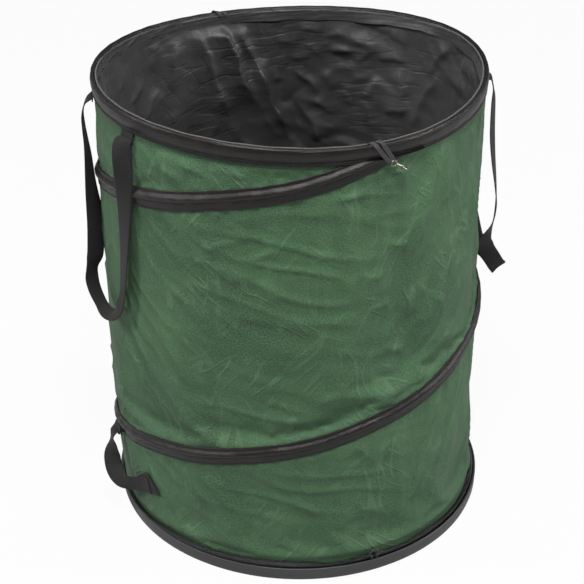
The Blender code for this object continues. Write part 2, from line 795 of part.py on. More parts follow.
tipping_pivot = pivot("tipping_slide", sum(tipping_ends(), Vector()) / 2)
hang_on(base_pivot, tipping_pivot)
hang_on(tipping_pivot, *make_tipping_patches())
tipping_handle, tipping_hinge = make_tipping_handle()
hang_on(tipping_pivot, tipping_hinge)
hang_on(tipping_hinge, tipping_handle)
high, low = tipping_ends()
print("tipping hinge at", tipping_hinge.location, "axis", (high - low).normalized())

for label, azimuth in (("front", CLOSURE_AZIMUTH), ("back", CLOSURE_AZIMUTH + 180)):
    frame = ClosureFrame(azimuth)
    hang_on(rim_pivot, make_closure_tab(f"{label}_closure_tab", frame))
    tape_hinge = pivot(f"{label}_tape_hinge", frame.hinge)
    hang_on(rim_pivot, tape_hinge)
    hang_on(tape_hinge, make_closure_tape(f"{label}_closure_tape", frame))
    hook_hinge = pivot(f"{label}_hook_hinge", frame.eye)
    hang_on(tape_hinge, hook_hinge)
    hang_on(hook_hinge, make_hook(f"{label}_closure_hook", frame))
    loop, loop_hinge = make_base_loop(f"{label}_base_loop", azimuth)
    hang_on(base_pivot, loop_hinge)
    hang_on(loop_hinge, loop)
    print(label, "tape hinge", frame.hinge, "eye", frame.eye, "eye axis", frame.across)
    print(label, "base loop hinge", loop_hinge.location, "axis", sideways(azimuth))

print("wall outside radius", round(wall_radius, 5), "sleeve outside", round(sleeve_outside, 5))
print("spiral reaches the base binding at azimuth", round(spiral_azimuth(binding_top) % 360, 1))
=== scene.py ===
# %% [markdown]
# # A pop-up garden bag, dressed for its picture
# The real thing is a drum of green coated cloth. A long spring wire runs up it in a spiral, inside a
# black sleeve, and pushes the bag open; a hard tray closes the bottom. The measured solids are loaded
# first and never moved. Everything soft is then rebuilt around them, because cloth needs folds that a
# plain solid doesn't have.

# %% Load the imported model
import math

import bmesh
import bpy
import numpy as np
from mathutils import Matrix, Vector, noise


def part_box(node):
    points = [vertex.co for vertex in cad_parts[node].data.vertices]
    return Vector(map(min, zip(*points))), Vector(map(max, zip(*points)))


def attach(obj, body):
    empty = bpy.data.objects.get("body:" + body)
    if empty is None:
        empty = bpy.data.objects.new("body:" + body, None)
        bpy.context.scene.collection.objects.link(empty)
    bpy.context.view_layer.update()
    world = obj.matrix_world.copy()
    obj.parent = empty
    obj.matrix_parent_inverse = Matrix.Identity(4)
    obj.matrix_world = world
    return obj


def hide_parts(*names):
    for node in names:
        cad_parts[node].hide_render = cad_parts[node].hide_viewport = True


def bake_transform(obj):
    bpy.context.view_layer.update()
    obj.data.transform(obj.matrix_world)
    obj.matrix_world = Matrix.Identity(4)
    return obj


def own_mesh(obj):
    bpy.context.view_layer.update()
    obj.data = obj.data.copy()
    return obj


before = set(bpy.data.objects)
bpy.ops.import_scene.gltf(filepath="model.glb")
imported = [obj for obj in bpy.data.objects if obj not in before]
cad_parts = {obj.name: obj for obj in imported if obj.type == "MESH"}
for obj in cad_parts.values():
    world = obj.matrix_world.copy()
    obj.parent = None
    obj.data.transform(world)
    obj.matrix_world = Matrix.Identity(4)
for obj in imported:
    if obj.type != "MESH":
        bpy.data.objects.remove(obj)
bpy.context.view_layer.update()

# %% [markdown]
# ## Camera
# The picture was taken from a little over two metres away, looking down on the bag, with a long lens.
# The numbers were fitted to the tray's lower edge, the rim's upper edge and the piping in the picture.
# Setting the camera first means that every later step can be judged against the picture.

# %% Camera
CAMERA_PLACE = (0.0024, -2.0963, 1.5514)
CAMERA_DOWN = math.radians(30.37)
CAMERA_YAW = 0.0063

CAMERA_LENS = 99.78
SENSOR_WIDTH = 36.0

camera = bpy.data.objects.new("camera", bpy.data.cameras.new("camera"))
bpy.context.scene.collection.objects.link(camera)
camera.data.lens = CAMERA_LENS
camera.data.sensor_width = SENSOR_WIDTH
camera.matrix_world = (Matrix.Translation(CAMERA_PLACE) @ Matrix.Rotation(CAMERA_YAW, 4, "Z")
                       @ Matrix.Rotation(math.pi / 2 - CAMERA_DOWN, 4, "X"))
bpy.context.scene.camera = camera
print("camera at", CAMERA_PLACE)

# %% [markdown]
# ## Light and background
# Coated cloth shows its folds only if light comes from the sides, so two wide soft lamps stand left and
# right of the bag and a third hangs above it. The background is white because the floor and the world
# answer the camera's own rays with white; the lamps don't have to be strong for that, and the floor
# keeps a part of the bag's shadow.

# %% Lamps
def soft_lamp(name, place, aim, size, watts):
    light = bpy.data.lights.new(name, "AREA")
    light.shape = "DISK"
    light.size = size
    light.energy = watts
    lamp = bpy.data.objects.new(name, light)
    bpy.context.scene.collection.objects.link(lamp)
    lamp.location = place
    lamp.rotation_euler = (Vector(aim) - Vector(place)).to_track_quat("-Z", "Y").to_euler()


soft_lamp("lamp_left", (-2.6, -0.3, 2.0), (0, 0, 0.40), 0.9, 45)
soft_lamp("lamp_right", (2.8, 0.0, 1.8), (0, 0, 0.40), 0.9, 52)
soft_lamp("lamp_top", (0.0, -1.3, 2.9), (0, 0, 0.55), 0.8, 86)

# %% [markdown]
# ## White surroundings
# The world and the floor could simply be white and bright, but then they would light the black cloth
# from everywhere and wash its folds out. So both are mixed from two shaders: the camera sees white, and
# the bag is lit by a much dimmer pale one.

# %% World and floor
FLOOR_REACH = 9


def white_for_camera(tree, plain, white, amount):
    """Joins two shaders, so that the camera sees the white one and everything else the plain one."""
    path = tree.nodes.new("ShaderNodeLightPath")
    share = tree.nodes.new("ShaderNodeMath")
    share.operation = "MULTIPLY"
    share.inputs[1].default_value = amount
    tree.links.new(path.outputs["Is Camera Ray"], share.inputs[0])
    mix = tree.nodes.new("ShaderNodeMixShader")
    tree.links.new(share.outputs[0], mix.inputs[0])
    tree.links.new(plain.outputs[0], mix.inputs[1])
    tree.links.new(white.outputs[0], mix.inputs[2])
    return mix


world = bpy.data.worlds.new("studio")
bpy.context.scene.world = world
world.use_nodes = True
tree = world.node_tree
tree.nodes.clear()
around = tree.nodes.new("ShaderNodeBackground")
around.inputs["Color"].default_value = (0.93, 0.96, 1.0, 1)
around.inputs["Strength"].default_value = 0.18
backdrop = tree.nodes.new("ShaderNodeBackground")
backdrop.inputs["Color"].default_value = (1, 1, 1, 1)
out = tree.nodes.new("ShaderNodeOutputWorld")
tree.links.new(white_for_camera(tree, around, backdrop, 1.0).outputs[0], out.inputs["Surface"])

floor_finish = bpy.data.materials.new("pale_floor")
floor_finish.use_nodes = True
tree = floor_finish.node_tree
tree.nodes.clear()
matt = tree.nodes.new("ShaderNodeBsdfDiffuse")
matt.inputs["Color"].default_value = (0.56, 0.56, 0.56, 1)
glow = tree.nodes.new("ShaderNodeEmission")
glow.inputs["Color"].default_value = (1, 1, 1, 1)
out = tree.nodes.new("ShaderNodeOutputMaterial")
tree.links.new(white_for_camera(tree, matt, glow, 0.95).outputs[0], out.inputs["Surface"])

floor_mesh = bpy.data.meshes.new("floor")
floor_mesh.from_pydata([(-FLOOR_REACH, -FLOOR_REACH, 0), (FLOOR_REACH, -FLOOR_REACH, 0),
                        (FLOOR_REACH, FLOOR_REACH, 0), (-FLOOR_REACH, FLOOR_REACH, 0)], [], [(0, 1, 2, 3)])
floor_mesh.materials.append(floor_finish)
floor = bpy.data.objects.new("floor", floor_mesh)
bpy.context.scene.collection.objects.link(floor)
bpy.context.scene.view_settings.view_transform = "Standard"
print("floor and world made")

# %% [markdown]
# ## The drum's real shape
# A sewn bag is never a true cylinder. The rim of this one is pulled a little oval by its handles and
# tilts, and the whole drum leans. Every piece is described by three plain numbers, the angle round the
# drum, the distance from its middle and the height, and one function turns them into a place. All
# pieces share it, so they stay together however uneven the drum is.

# %% Shape of the uneven drum
BAG_HEIGHT = 0.685
LEAN = 0.013
BELLY = -0.0045
FULLNESS = 0.0035
OVAL = 0.0052
RIM_SHRINK = 0.0012
RIM_FORWARD = 0.0024
WALL_RADIUS = 0.2722
RIM_WIRE_HEIGHT = 0.6817
BASE_WIRE_HEIGHT = 0.0255


def rim_share(height):
    """0 low on the bag, 1 at the rim: how much of the rim's warp is felt at a height."""
    return np.clip((height / BAG_HEIGHT - 0.35) / 0.65, 0, 1.03) ** 2


def rim_rise(azimuth):
    """How far the rim's warp lifts or lowers it at an angle, as three waves round the drum."""
    a = np.radians(azimuth)
    wave = -0.0021 * np.cos(a) - 0.0073 * np.sin(a) + 0.0046 * np.cos(2 * a) + 0.0049 * np.sin(2 * a)
    return wave + 0.0010 * np.cos(3 * a) + 0.0011 * np.sin(3 * a)


def drum_place(azimuth, radius, height):
    """The place in metres for an angle in degrees, a distance from the middle and a height."""
    azimuth, radius, height = np.broadcast_arrays(*(np.asarray(v, float) for v in (azimuth, radius, height)))
    a = np.radians(azimuth)
    up = height / BAG_HEIGHT
    share = rim_share(height)
    inside = np.clip(up, 0, 1)
    r = radius + share * (OVAL * np.sin(2 * a) - RIM_SHRINK) + FULLNESS * np.sin(np.pi * inside)
    x = r * np.cos(a) - LEAN * up + BELLY * np.sin(np.pi * np.sqrt(inside))
    y = r * np.sin(a) - RIM_FORWARD * share
    return np.stack([x, y, height + share * rim_rise(azimuth)], -1)


def level_for(azimuth, height):
    """The height to give drum_place so that a point on the wall really ends up at that height."""
    return height - rim_share(height) * rim_rise(azimuth)


print("rim tilts by", round(float(np.ptp(rim_rise(np.arange(0, 360, 5)))) * 1000, 1), "mm")

# %% [markdown]
# ## The spring wire's course
# One long wire winds down from the rim in a little over one and a half turns. On a sewn bag it strays a
# few millimetres from a perfect screw line, where the cloth pulls it. So its course is a straight slope
# plus a few gentle swells, which is how a maker would describe the error.

# %% Course of the spiral
SPIRAL_START = -50.0
SPIRAL_END = -637.0
SPIRAL_MEETS_RIM = -71.0
SPIRAL_PITCH = 0.410
SPIRAL_STRAYS = ((-86, 26, -0.0072), (-127, 14, -0.0028), (-385, 30, 0.0055), (-427, 14, 0.0040),
                 (-462, 22, 0.0040), (-496, 14, 0.0045))
SPIRAL_TOP = 0.658
WIRE_ABOVE_MIDDLE = 0.003
RIM_TAPE_EDGE = 0.6615


def spiral_height(turned):
    """Height of the sleeve's middle. The angle keeps counting down past whole turns."""
    height = SPIRAL_TOP + SPIRAL_PITCH * (turned - SPIRAL_MEETS_RIM) / 360
    for middle, reach, stray in SPIRAL_STRAYS:
        height = height + stray * np.exp(-((turned - middle) / reach) ** 2)
    return level_for(turned, height)


def wire_levels(azimuth):
    """Heights of every wire that crosses the wall at these angles, base and rim hoop included."""
    azimuth = np.mod(azimuth, 360)
    levels = [np.full(azimuth.shape, BASE_WIRE_HEIGHT), np.full(azimuth.shape, RIM_WIRE_HEIGHT)]
    for turn in (1, 2):
        turned = azimuth - 360 * turn
        inside = (turned <= SPIRAL_START) & (turned >= SPIRAL_END)
        levels.append(np.where(inside, spiral_height(turned) + WIRE_ABOVE_MIDDLE, BASE_WIRE_HEIGHT))
    return np.sort(np.stack(levels, -1), -1)


print("the wire crosses the front at", np.round(wire_levels(np.array([-90.0]))[0], 3))

# %% [markdown]
# ## Mesh helpers
# Nearly every soft piece here is a grid of points bent into shape: the wall is a grid wrapped round the
# drum, a sleeve is a grid wrapped round its wire, a strap is a grid wrapped round its own thickness. One
# helper turns such a grid into a mesh and writes its size in metres into the UV map, so that weaves and
# stitches have their true size on every piece.

# %% Grid to mesh
def grid_mesh(name, points, finish, size, wrap_rows=False, wrap_columns=False, cap=False):
    """A mesh from points[row, column]. size is the grid's real height and width, for the UV map."""
    rows, columns = points.shape[:2]
    across = columns if wrap_columns else columns - 1
    up = rows if wrap_rows else rows - 1
    i, j = np.meshgrid(np.arange(up), np.arange(across), indexing="ij")
    i, j = i.ravel(), j.ravel()
    corners = [(i, j), (i, j + 1), (i + 1, j + 1), (i + 1, j)]
    faces = np.stack([(a % rows) * columns + (b % columns) for a, b in corners], -1)
    uv = np.stack([np.stack([b / across * size[1], a / up * size[0]], -1) for a, b in corners], 1)
    mesh = bpy.data.meshes.new(name)
    mesh.from_pydata(points.reshape(-1, 3).tolist(), [], faces.tolist())
    layer = mesh.uv_layers.new(name="metres")
    layer.data.foreach_set("uv", uv.reshape(-1).astype(np.float32))
    if cap:
        shape = bmesh.new()
        shape.from_mesh(mesh)
        bmesh.ops.holes_fill(shape, edges=shape.edges, sides=0)
        shape.to_mesh(mesh)
        shape.free()
    shape = bmesh.new()
    shape.from_mesh(mesh)
    bmesh.ops.recalc_face_normals(shape, faces=shape.faces)
    shape.to_mesh(mesh)
    shape.free()
    mesh.shade_smooth()
    obj = bpy.data.objects.new(name, mesh)
    bpy.context.scene.collection.objects.link(obj)
    if finish:
        mesh.materials.append(finish)
    return obj


def keep_shape(obj):
    """Applies the object's modifiers."""
    bpy.context.view_layer.update()
    evaluated = obj.evaluated_get(bpy.context.evaluated_depsgraph_get())
    made = bpy.data.meshes.new_from_object(evaluated)
    obj.modifiers.clear()
    old = obj.data
    obj.data = made
    bpy.data.meshes.remove(old)
    return obj


def smooth_course(knots, count):
    """A smooth line through knots, as rows of numbers, at evenly shared steps."""
    knots = np.asarray(knots, float)
    padded = np.vstack([2 * knots[0] - knots[1], knots, 2 * knots[-1] - knots[-2]])
    t = np.linspace(0, len(knots) - 1, count)
    k = np.minimum(t.astype(int), len(knots) - 2)
    f = (t - k)[:, None]
    p0, p1, p2, p3 = (padded[k + n] for n in range(4))
    return 0.5 * (2 * p1 + (p2 - p0) * f + (2 * p0 - 5 * p1 + 4 * p2 - p3) * f ** 2
                  + (3 * p1 - p0 - 3 * p2 + p3) * f ** 3)


def unit(vectors):
    return vectors / np.maximum(np.linalg.norm(vectors, axis=-1, keepdims=True), 1e-12)


def run_length(points):
    return float(np.linalg.norm(np.diff(points, axis=0), axis=1).sum())


# %% [markdown]
# ## Round cords
# Wires, piping and cord loops are round, so a ring of points is carried along their line. Each ring
# takes its direction from the one before it, so that the tube doesn't twist.

# %% Tube along a line
def round_cord(name, points, radius, finish, closed=False, sides=8):
    """A round wire or cord: a ring of points carried along a line."""
    points = np.asarray(points, float)
    if closed:
        ahead = unit(np.roll(points, -1, 0) - np.roll(points, 1, 0))
    else:
        ahead = unit(np.gradient(points, axis=0))
    first = np.cross(ahead[0], (0, 0, 1.0) if abs(ahead[0][2]) < 0.9 else (1.0, 0, 0))
    side = [unit(first)]
    for direction in ahead[1:]:
        carried = side[-1] - direction * side[-1].dot(direction)
        side.append(unit(carried))
    side = np.array(side)
    other = np.cross(ahead, side)
    angles = np.linspace(0, 2 * np.pi, sides, endpoint=False)
    ring = [points + radius * (np.cos(a) * side + np.sin(a) * other) for a in angles]
    size = (2 * np.pi * radius, run_length(points))
    return grid_mesh(name, np.array(ring), finish, size, True, closed, not closed)


print("helpers ready")

# %% [markdown]
# ## Finishes
# Each finish is built from nodes. A small kit keeps them short: a noise, a weave made of two crossed
# waves, and a bump. Colours that vary are mixed from noise; numbers that are the same everywhere are set
# straight on the shader.

# %% Finish helpers
# Blender's wave texture repeats after this many metres when its scale is 1.
WAVE_REPEAT = 0.314


class Finish:
    """A material with one shader and a few short ways to add texture to it."""

    def __init__(self, name, roughness, metallic=0.0, sheen=0.0, specular=0.5):
        self.material = bpy.data.materials.new(name)
        self.material.use_nodes = True
        self.tree = self.material.node_tree
        self.shader = self.tree.nodes["Principled BSDF"]
        self.shader.inputs["Roughness"].default_value = roughness
        self.shader.inputs["Metallic"].default_value = metallic
        self.shader.inputs["Specular IOR Level"].default_value = specular
        self.shader.inputs["Sheen Weight"].default_value = sheen
        self.shader.inputs["Sheen Roughness"].default_value = 0.45
        self.height = None

    def node(self, kind, **values):
        made = self.tree.nodes.new(kind)
        for key, value in values.items():
            setattr(made, key, value)
        return made

    def link(self, a, b):
        self.tree.links.new(a, b)

    def place(self, turn=0.0, stretch=(1, 1, 1), solid=False):
        """Texture coordinates in metres: the UV map, or the place in space for a solid grain."""
        source = self.node("ShaderNodeTexCoord").outputs["Object"] if solid else \
            self.node("ShaderNodeUVMap", uv_map="metres").outputs["UV"]
        spin = self.node("ShaderNodeMapping")
        spin.inputs["Rotation"].default_value = (0, 0, math.radians(turn))
        scale = self.node("ShaderNodeMapping")
        scale.inputs["Scale"].default_value = stretch
        self.link(source, spin.inputs["Vector"])
        self.link(spin.outputs["Vector"], scale.inputs["Vector"])
        return scale.outputs["Vector"]

    def noise(self, place, scale, detail=3.0, rough=0.5, kind="FBM"):
        made = self.node("ShaderNodeTexNoise", noise_type=kind)
        made.inputs["Scale"].default_value = scale
        made.inputs["Detail"].default_value = detail
        made.inputs["Roughness"].default_value = rough
        self.link(place, made.inputs["Vector"])
        return made.outputs["Fac"]

    def spread(self, value, low, high, to_low=0.0, to_high=1.0):
        made = self.node("ShaderNodeMapRange")
        for key, number in zip(("From Min", "From Max", "To Min", "To Max"), (low, high, to_low, to_high)):
            made.inputs[key].default_value = number
        self.link(value, made.inputs["Value"])
        return made.outputs["Result"]

    def sums(self, kind, a, b):
        made = self.node("ShaderNodeMath", operation=kind)
        for socket, value in zip(made.inputs, (a, b)):
            if isinstance(value, (int, float)):
                socket.default_value = value
            else:
                self.link(value, socket)
        return made.outputs[0]

    def weave(self, place, thread):
        """Two sets of threads that cross: each is a wave, thread metres apart."""
        bands = []
        for direction in ("X", "Y"):
            wave = self.node("ShaderNodeTexWave", wave_type="BANDS", bands_direction=direction)
            wave.inputs["Scale"].default_value = WAVE_REPEAT / thread
            self.link(place, wave.inputs["Vector"])
            bands.append(wave.outputs["Fac"])
        return self.sums("MAXIMUM", *bands)

    def colours(self, low, high, share):
        mix = self.node("ShaderNodeMix", data_type="RGBA")
        for socket, colour in ((mix.inputs[6], low), (mix.inputs[7], high)):
            if isinstance(colour, tuple):
                socket.default_value = (*colour, 1)
            else:
                self.link(colour, socket)
        self.link(share, mix.inputs[0])
        return mix.outputs[2]

    def paint(self, colour):
        self.link(colour, self.shader.inputs["Base Color"])

    def bump(self, value, depth):
        """Adds relief of depth metres. Calls stack up."""
        made = self.node("ShaderNodeBump")
        made.inputs["Strength"].default_value = 1.0
        made.inputs["Distance"].default_value = depth
        self.link(value, made.inputs["Height"])
        if self.height:
            self.link(self.height, made.inputs["Normal"])
        self.height = made.outputs["Normal"]
        self.link(self.height, self.shader.inputs["Normal"])


print("finish kit ready")

# %% [markdown]
# ## Green coated cloth
# The wall is thin woven cloth with a coating. From a distance it looks matt green with a faint speckle.
# Its sharp creases mostly slant, because the wire pulls the cloth askew, and along them a painted highlight
# makes the colour a little lighter, where the ridges would catch the light. The weave is a millimetre
# across. The crease lines lie where a stretched noise passes its middle value. They show only in patches,
# as painted highlight and relief together.

# %% Green cloth
green = Finish("green_coated_cloth", roughness=0.62, sheen=0.02, specular=0.16)
flat_place = green.place()
patchy = green.spread(green.noise(flat_place, 6.5, 4, 0.55), 0.36, 0.64)
speckle = green.spread(green.noise(flat_place, 430, 3, 0.75), 0.40, 0.66)
creases = []
for turn, stretch, scale in ((40, (1.0, 5.0, 1), 9.0),
                             (-50, (1.0, 5.0, 1), 8.0),
                             (84, (1.0, 4.0, 1), 10.0)):
    thin = green.noise(green.place(turn, stretch), scale, 1, 0.5)
    line = green.spread(green.sums("ABSOLUTE", green.sums("SUBTRACT", thin, 0.5), 0), 0.045, 0.0)
    shown = green.spread(green.noise(green.place(turn), 11, 3, 0.6), 0.52, 0.64)
    creases.append(green.sums("MULTIPLY", line, shown))
crease = green.sums("MAXIMUM", green.sums("MAXIMUM", creases[0], creases[1]), creases[2])
body = green.colours((0.0285, 0.0645, 0.0333), (0.0465, 0.1025, 0.0490), patchy)
body = green.colours(body, (0.121, 0.215, 0.119), green.sums("MULTIPLY", speckle, 0.60))
# Painted highlight: the colour lightens along the crease lines, standing in for light caught by the ridges.
green.paint(green.colours(body, (0.125, 0.225, 0.125), green.sums("MULTIPLY", crease, 0.34)))
green.bump(green.weave(flat_place, 0.0011), 0.00010)
green.bump(green.noise(flat_place, 26, 5, 0.6), 0.0026)
green.bump(crease, 0.0009)
green.link(green.spread(speckle, 0, 1, 0.55, 0.70), green.shader.inputs["Roughness"])
print("finish:", green.material.name)

# %% [markdown]
# ## Black lining
# The lining is a slippery coated cloth, close to black, that keeps every fold. It shines softly, so it
# needs less roughness than the green side. Its large folds are real geometry, further down; the finish
# adds only the fine slanting lines between them.

# %% Lining
lining = Finish("black_lining_cloth", roughness=0.46, sheen=0.05, specular=0.50)
flat_place = lining.place()
patchy = lining.spread(lining.noise(flat_place, 6, 4, 0.6), 0.35, 0.65)
body = lining.colours((0.022, 0.022, 0.023), (0.034, 0.034, 0.035), patchy)
speckle = lining.spread(lining.noise(flat_place, 560, 2, 0.6), 0.3, 0.75, 0, 0.35)
lining.paint(lining.colours(body, (0.070, 0.070, 0.072), speckle))
for turn, stretch, scale, depth in ((8, (1, 4.5, 1), 9, 0.0007), (-58, (1, 3.0, 1), 9, 0.0004)):
    thin = lining.noise(lining.place(turn, stretch), scale, 2, 0.5)
    fold = lining.spread(lining.sums("ABSOLUTE", lining.sums("SUBTRACT", thin, 0.5), 0), 0.065, 0.0)
    shown = lining.spread(lining.noise(lining.place(turn), 7, 3, 0.6), 0.46, 0.60)
    lining.bump(lining.sums("MULTIPLY", fold, shown), depth)
lining.bump(lining.noise(flat_place, 30, 5, 0.6), 0.0012)
lining.bump(lining.weave(flat_place, 0.0010), 0.00008)
print("finish:", lining.material.name)

# %% [markdown]
# ## Black sleeve tape
# The tape over the wires is a soft knit, brown-black, with a dull gloss where it bulges over the wire.
# Its grain is a fine noise with no direction. The base binding is the same stuff, worn to a pile, so
# its relief is deeper and it is a shade darker.

# %% Tapes
def tape_finish(name, dark, light, pile, sheen):
    tape = Finish(name, roughness=0.36, sheen=sheen, specular=0.36)
    flat = tape.place()
    grain = tape.spread(tape.noise(flat, 700, 2, 0.7), 0.42, 0.72)
    wear = tape.spread(tape.noise(flat, 40, 3, 0.6), 0.35, 0.7)
    body = tape.colours(dark, light, wear)
    tape.paint(tape.colours(body, tuple(3.0 * c for c in light), tape.sums("MULTIPLY", grain, 0.22)))
    tape.bump(tape.weave(flat, 0.0013), 0.00012)
    tape.bump(tape.noise(flat, 420, 3, 0.7), pile)
    tape.bump(tape.noise(flat, 90, 2, 0.5), 0.0007)
    return tape.material


sleeve_tape = tape_finish("black_sleeve_tape", (0.0048, 0.0032, 0.0027), (0.0080, 0.0056, 0.0048),
                          0.0004, 0.01)
base_tape = tape_finish("black_pile_binding", (0.0025, 0.0025, 0.0025), (0.006, 0.006, 0.006),
                        0.0012, 0.0)
print("finishes:", sleeve_tape.name, base_tape.name)

# %% [markdown]
# ## Webbing, piping, thread and cord
# Webbing is woven in ribs, so its waves run one way only and are crossed by a finer set. Piping and
# thread are plain twisted yarn: a slanting wave on a thin tube.

# %% Webbing and yarns
def ribbed_finish(name, dark, light, rib, thread, depth, turn=0.0):
    """rib and thread are the spacings of the coarse and the fine ribs, in metres."""
    made = Finish(name, roughness=0.7, sheen=0.04, specular=0.22)
    flat = made.place(turn)
    ribs = made.node("ShaderNodeTexWave", wave_type="BANDS", bands_direction="X")
    ribs.inputs["Scale"].default_value = WAVE_REPEAT / rib
    made.link(flat, ribs.inputs["Vector"])
    ribs = ribs.outputs["Fac"]
    body = made.colours(dark, light, ribs)
    grain = made.spread(made.noise(flat, 800, 2, 0.6), 0.35, 0.75)
    made.paint(made.colours(body, tuple(2.6 * c for c in light), made.sums("MULTIPLY", grain, 0.30)))
    made.bump(made.weave(flat, thread), depth * 0.5)
    made.bump(ribs, depth)
    return made.material


strap_web = ribbed_finish("black_webbing", (0.0095, 0.0093, 0.0090), (0.0170, 0.0165, 0.0160),
                          0.0022, 0.0011, 0.00022)
piping_yarn = ribbed_finish("grey_piping", (0.052, 0.052, 0.050), (0.092, 0.092, 0.089),
                            0.0012, 0.0006, 0.00015, 45)
black_thread = ribbed_finish("black_thread", (0.010, 0.010, 0.010), (0.030, 0.029, 0.028),
                             0.0008, 0.0004, 0.0001, 45)
elastic = ribbed_finish("grey_black_elastic", (0.020, 0.019, 0.020), (0.052, 0.050, 0.052),
                        0.0010, 0.0005, 0.00018)
loop_yarn = ribbed_finish("dark_loop_cord", (0.020, 0.022, 0.020), (0.045, 0.048, 0.045),
                          0.0010, 0.0006, 0.0002, 35)
print("webbing and yarns ready")

# %% [markdown]
# ## Tray plastic, rivets and metal
# The tray is moulded from a dark grey plastic with a fine grain, with lighter rubbed streaks here and
# there. Metal parts get a little unevenness so that they don't look like chrome.

# %% Plastic and metal
def plastic_finish(name, dark, light, roughness, grain_depth):
    made = Finish(name, roughness=roughness, specular=0.45)
    solid = made.place(solid=True)
    cloud = made.spread(made.noise(solid, 14, 4, 0.6), 0.35, 0.7)
    rubbed = made.noise(made.place(stretch=(1, 1, 6), solid=True), 60, 4, 0.65, "RIDGED_MULTIFRACTAL")
    body = made.colours(dark, light, cloud)
    scuffs = made.sums("MULTIPLY", made.spread(rubbed, 0.95, 1.5), 0.25)
    made.paint(made.colours(body, tuple(1.8 * c for c in light), scuffs))
    made.bump(made.noise(solid, 1500, 2, 0.6), grain_depth)
    made.link(made.spread(cloud, 0, 1, roughness - 0.05, roughness + 0.08), made.shader.inputs["Roughness"])
    return made.material


tray_plastic = plastic_finish("grey_moulded_plastic", (0.033, 0.033, 0.035), (0.046, 0.046, 0.048),
                              0.48, 0.00006)
rivet_plastic = plastic_finish("black_rivet_plastic", (0.016, 0.016, 0.017), (0.026, 0.026, 0.027),
                               0.40, 0.00004)


def metal_finish(name, dark, light, roughness):
    made = Finish(name, roughness=roughness, metallic=1.0)
    solid = made.place(solid=True)
    made.paint(made.colours(dark, light, made.spread(made.noise(solid, 420, 3, 0.6), 0.35, 0.7)))
    made.bump(made.noise(solid, 900, 2, 0.5), 0.00004)
    return made.material


wire_steel = metal_finish("spring_steel", (0.30, 0.30, 0.31), (0.42, 0.42, 0.43), 0.32)
hook_steel = metal_finish("worn_hook_metal", (0.14, 0.125, 0.10), (0.36, 0.34, 0.30), 0.30)
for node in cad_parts.values():
    if "rivet" in node.name:
        node.data.materials.clear()
        node.data.materials.append(rivet_plastic)
print("plastic and metal ready")

# %% [markdown]
# ## The cloth wall
# The wall is one tube of cloth, sewn to the base, to the rim and to the spiral sleeve, and free in
# between. It could be drawn with waves, but cloth that is held along a slanting line folds in a way that
# is hard to invent. So it is a simulation: the grid is held where the stitches are, the free cloth is
# told that it was cut a little larger, and Blender's cloth solver finds the folds.
# Between two wires the cloth also pulls in to a waist, which the starting grid already has.

# %% Wall grid
COLUMNS = 240
ROWS = 100
WAIST = 0.0040
WALL_HELD_BELOW = 0.040
WALL_HELD_ABOVE = 0.652
LINING_HELD_BELOW = 0.030
LINING_HELD_ABOVE = 0.658
CLOTH_FOOT = 0.0075
CLOTH_TOP = 0.668
WALL_GIRTH = 1.71


def waist_depth(azimuth, height):
    """How far the cloth pulls in between the wires above and below a point."""
    levels = wire_levels(azimuth)
    height = np.asarray(height)[..., None]
    below = np.where(levels <= height, levels, BASE_WIRE_HEIGHT).max(-1)
    above = np.where(levels >= height, levels, RIM_WIRE_HEIGHT).min(-1)
    span = np.maximum(above - below, 1e-4)
    share = np.clip((height[..., 0] - below) / span, 0, 1)
    turned = 1 + 0.8 * np.cos(np.radians(azimuth))
    return WAIST * turned * (span / 0.41) ** 1.2 * np.sin(np.pi * share) ** 1.3


def near_wire(azimuth, height, reach):
    """True where a point lies within reach of a line of stitches."""
    levels = wire_levels(azimuth)
    return (np.abs(levels - WIRE_ABOVE_MIDDLE - np.asarray(height)[..., None]) < reach).any(-1)


def outward(azimuth):
    a = np.radians(azimuth)
    return np.stack([np.cos(a), np.sin(a), 0 * a], -1)


azimuths, heights = np.meshgrid(np.arange(COLUMNS) * 360 / COLUMNS,
                                np.linspace(CLOTH_FOOT, CLOTH_TOP, ROWS + 1))
wall_waist = waist_depth(azimuths, heights)
wall_radii = WALL_RADIUS - 0.0006 - wall_waist
print("wall grid", wall_radii.shape, "waist", round(float(wall_waist.max()), 4))

# %% [markdown]
# ## Letting the cloth settle
# The solver runs on a coarse grid, because it is slow, and the result is then doubled in both
# directions. How far a point may move is capped, so that no point strays far from the starting shape.

# %% Let the cloth settle
def uneven(azimuth, height, size, seed):
    """Smooth noise that closes round the drum, about size metres from swell to swell."""
    a = np.radians(azimuth)
    spots = np.stack([np.cos(a) * WALL_RADIUS, np.sin(a) * WALL_RADIUS, height], -1) / size + seed
    return np.array([noise.noise(Vector(spot)) for spot in spots.reshape(-1, 3)]).reshape(azimuth.shape)


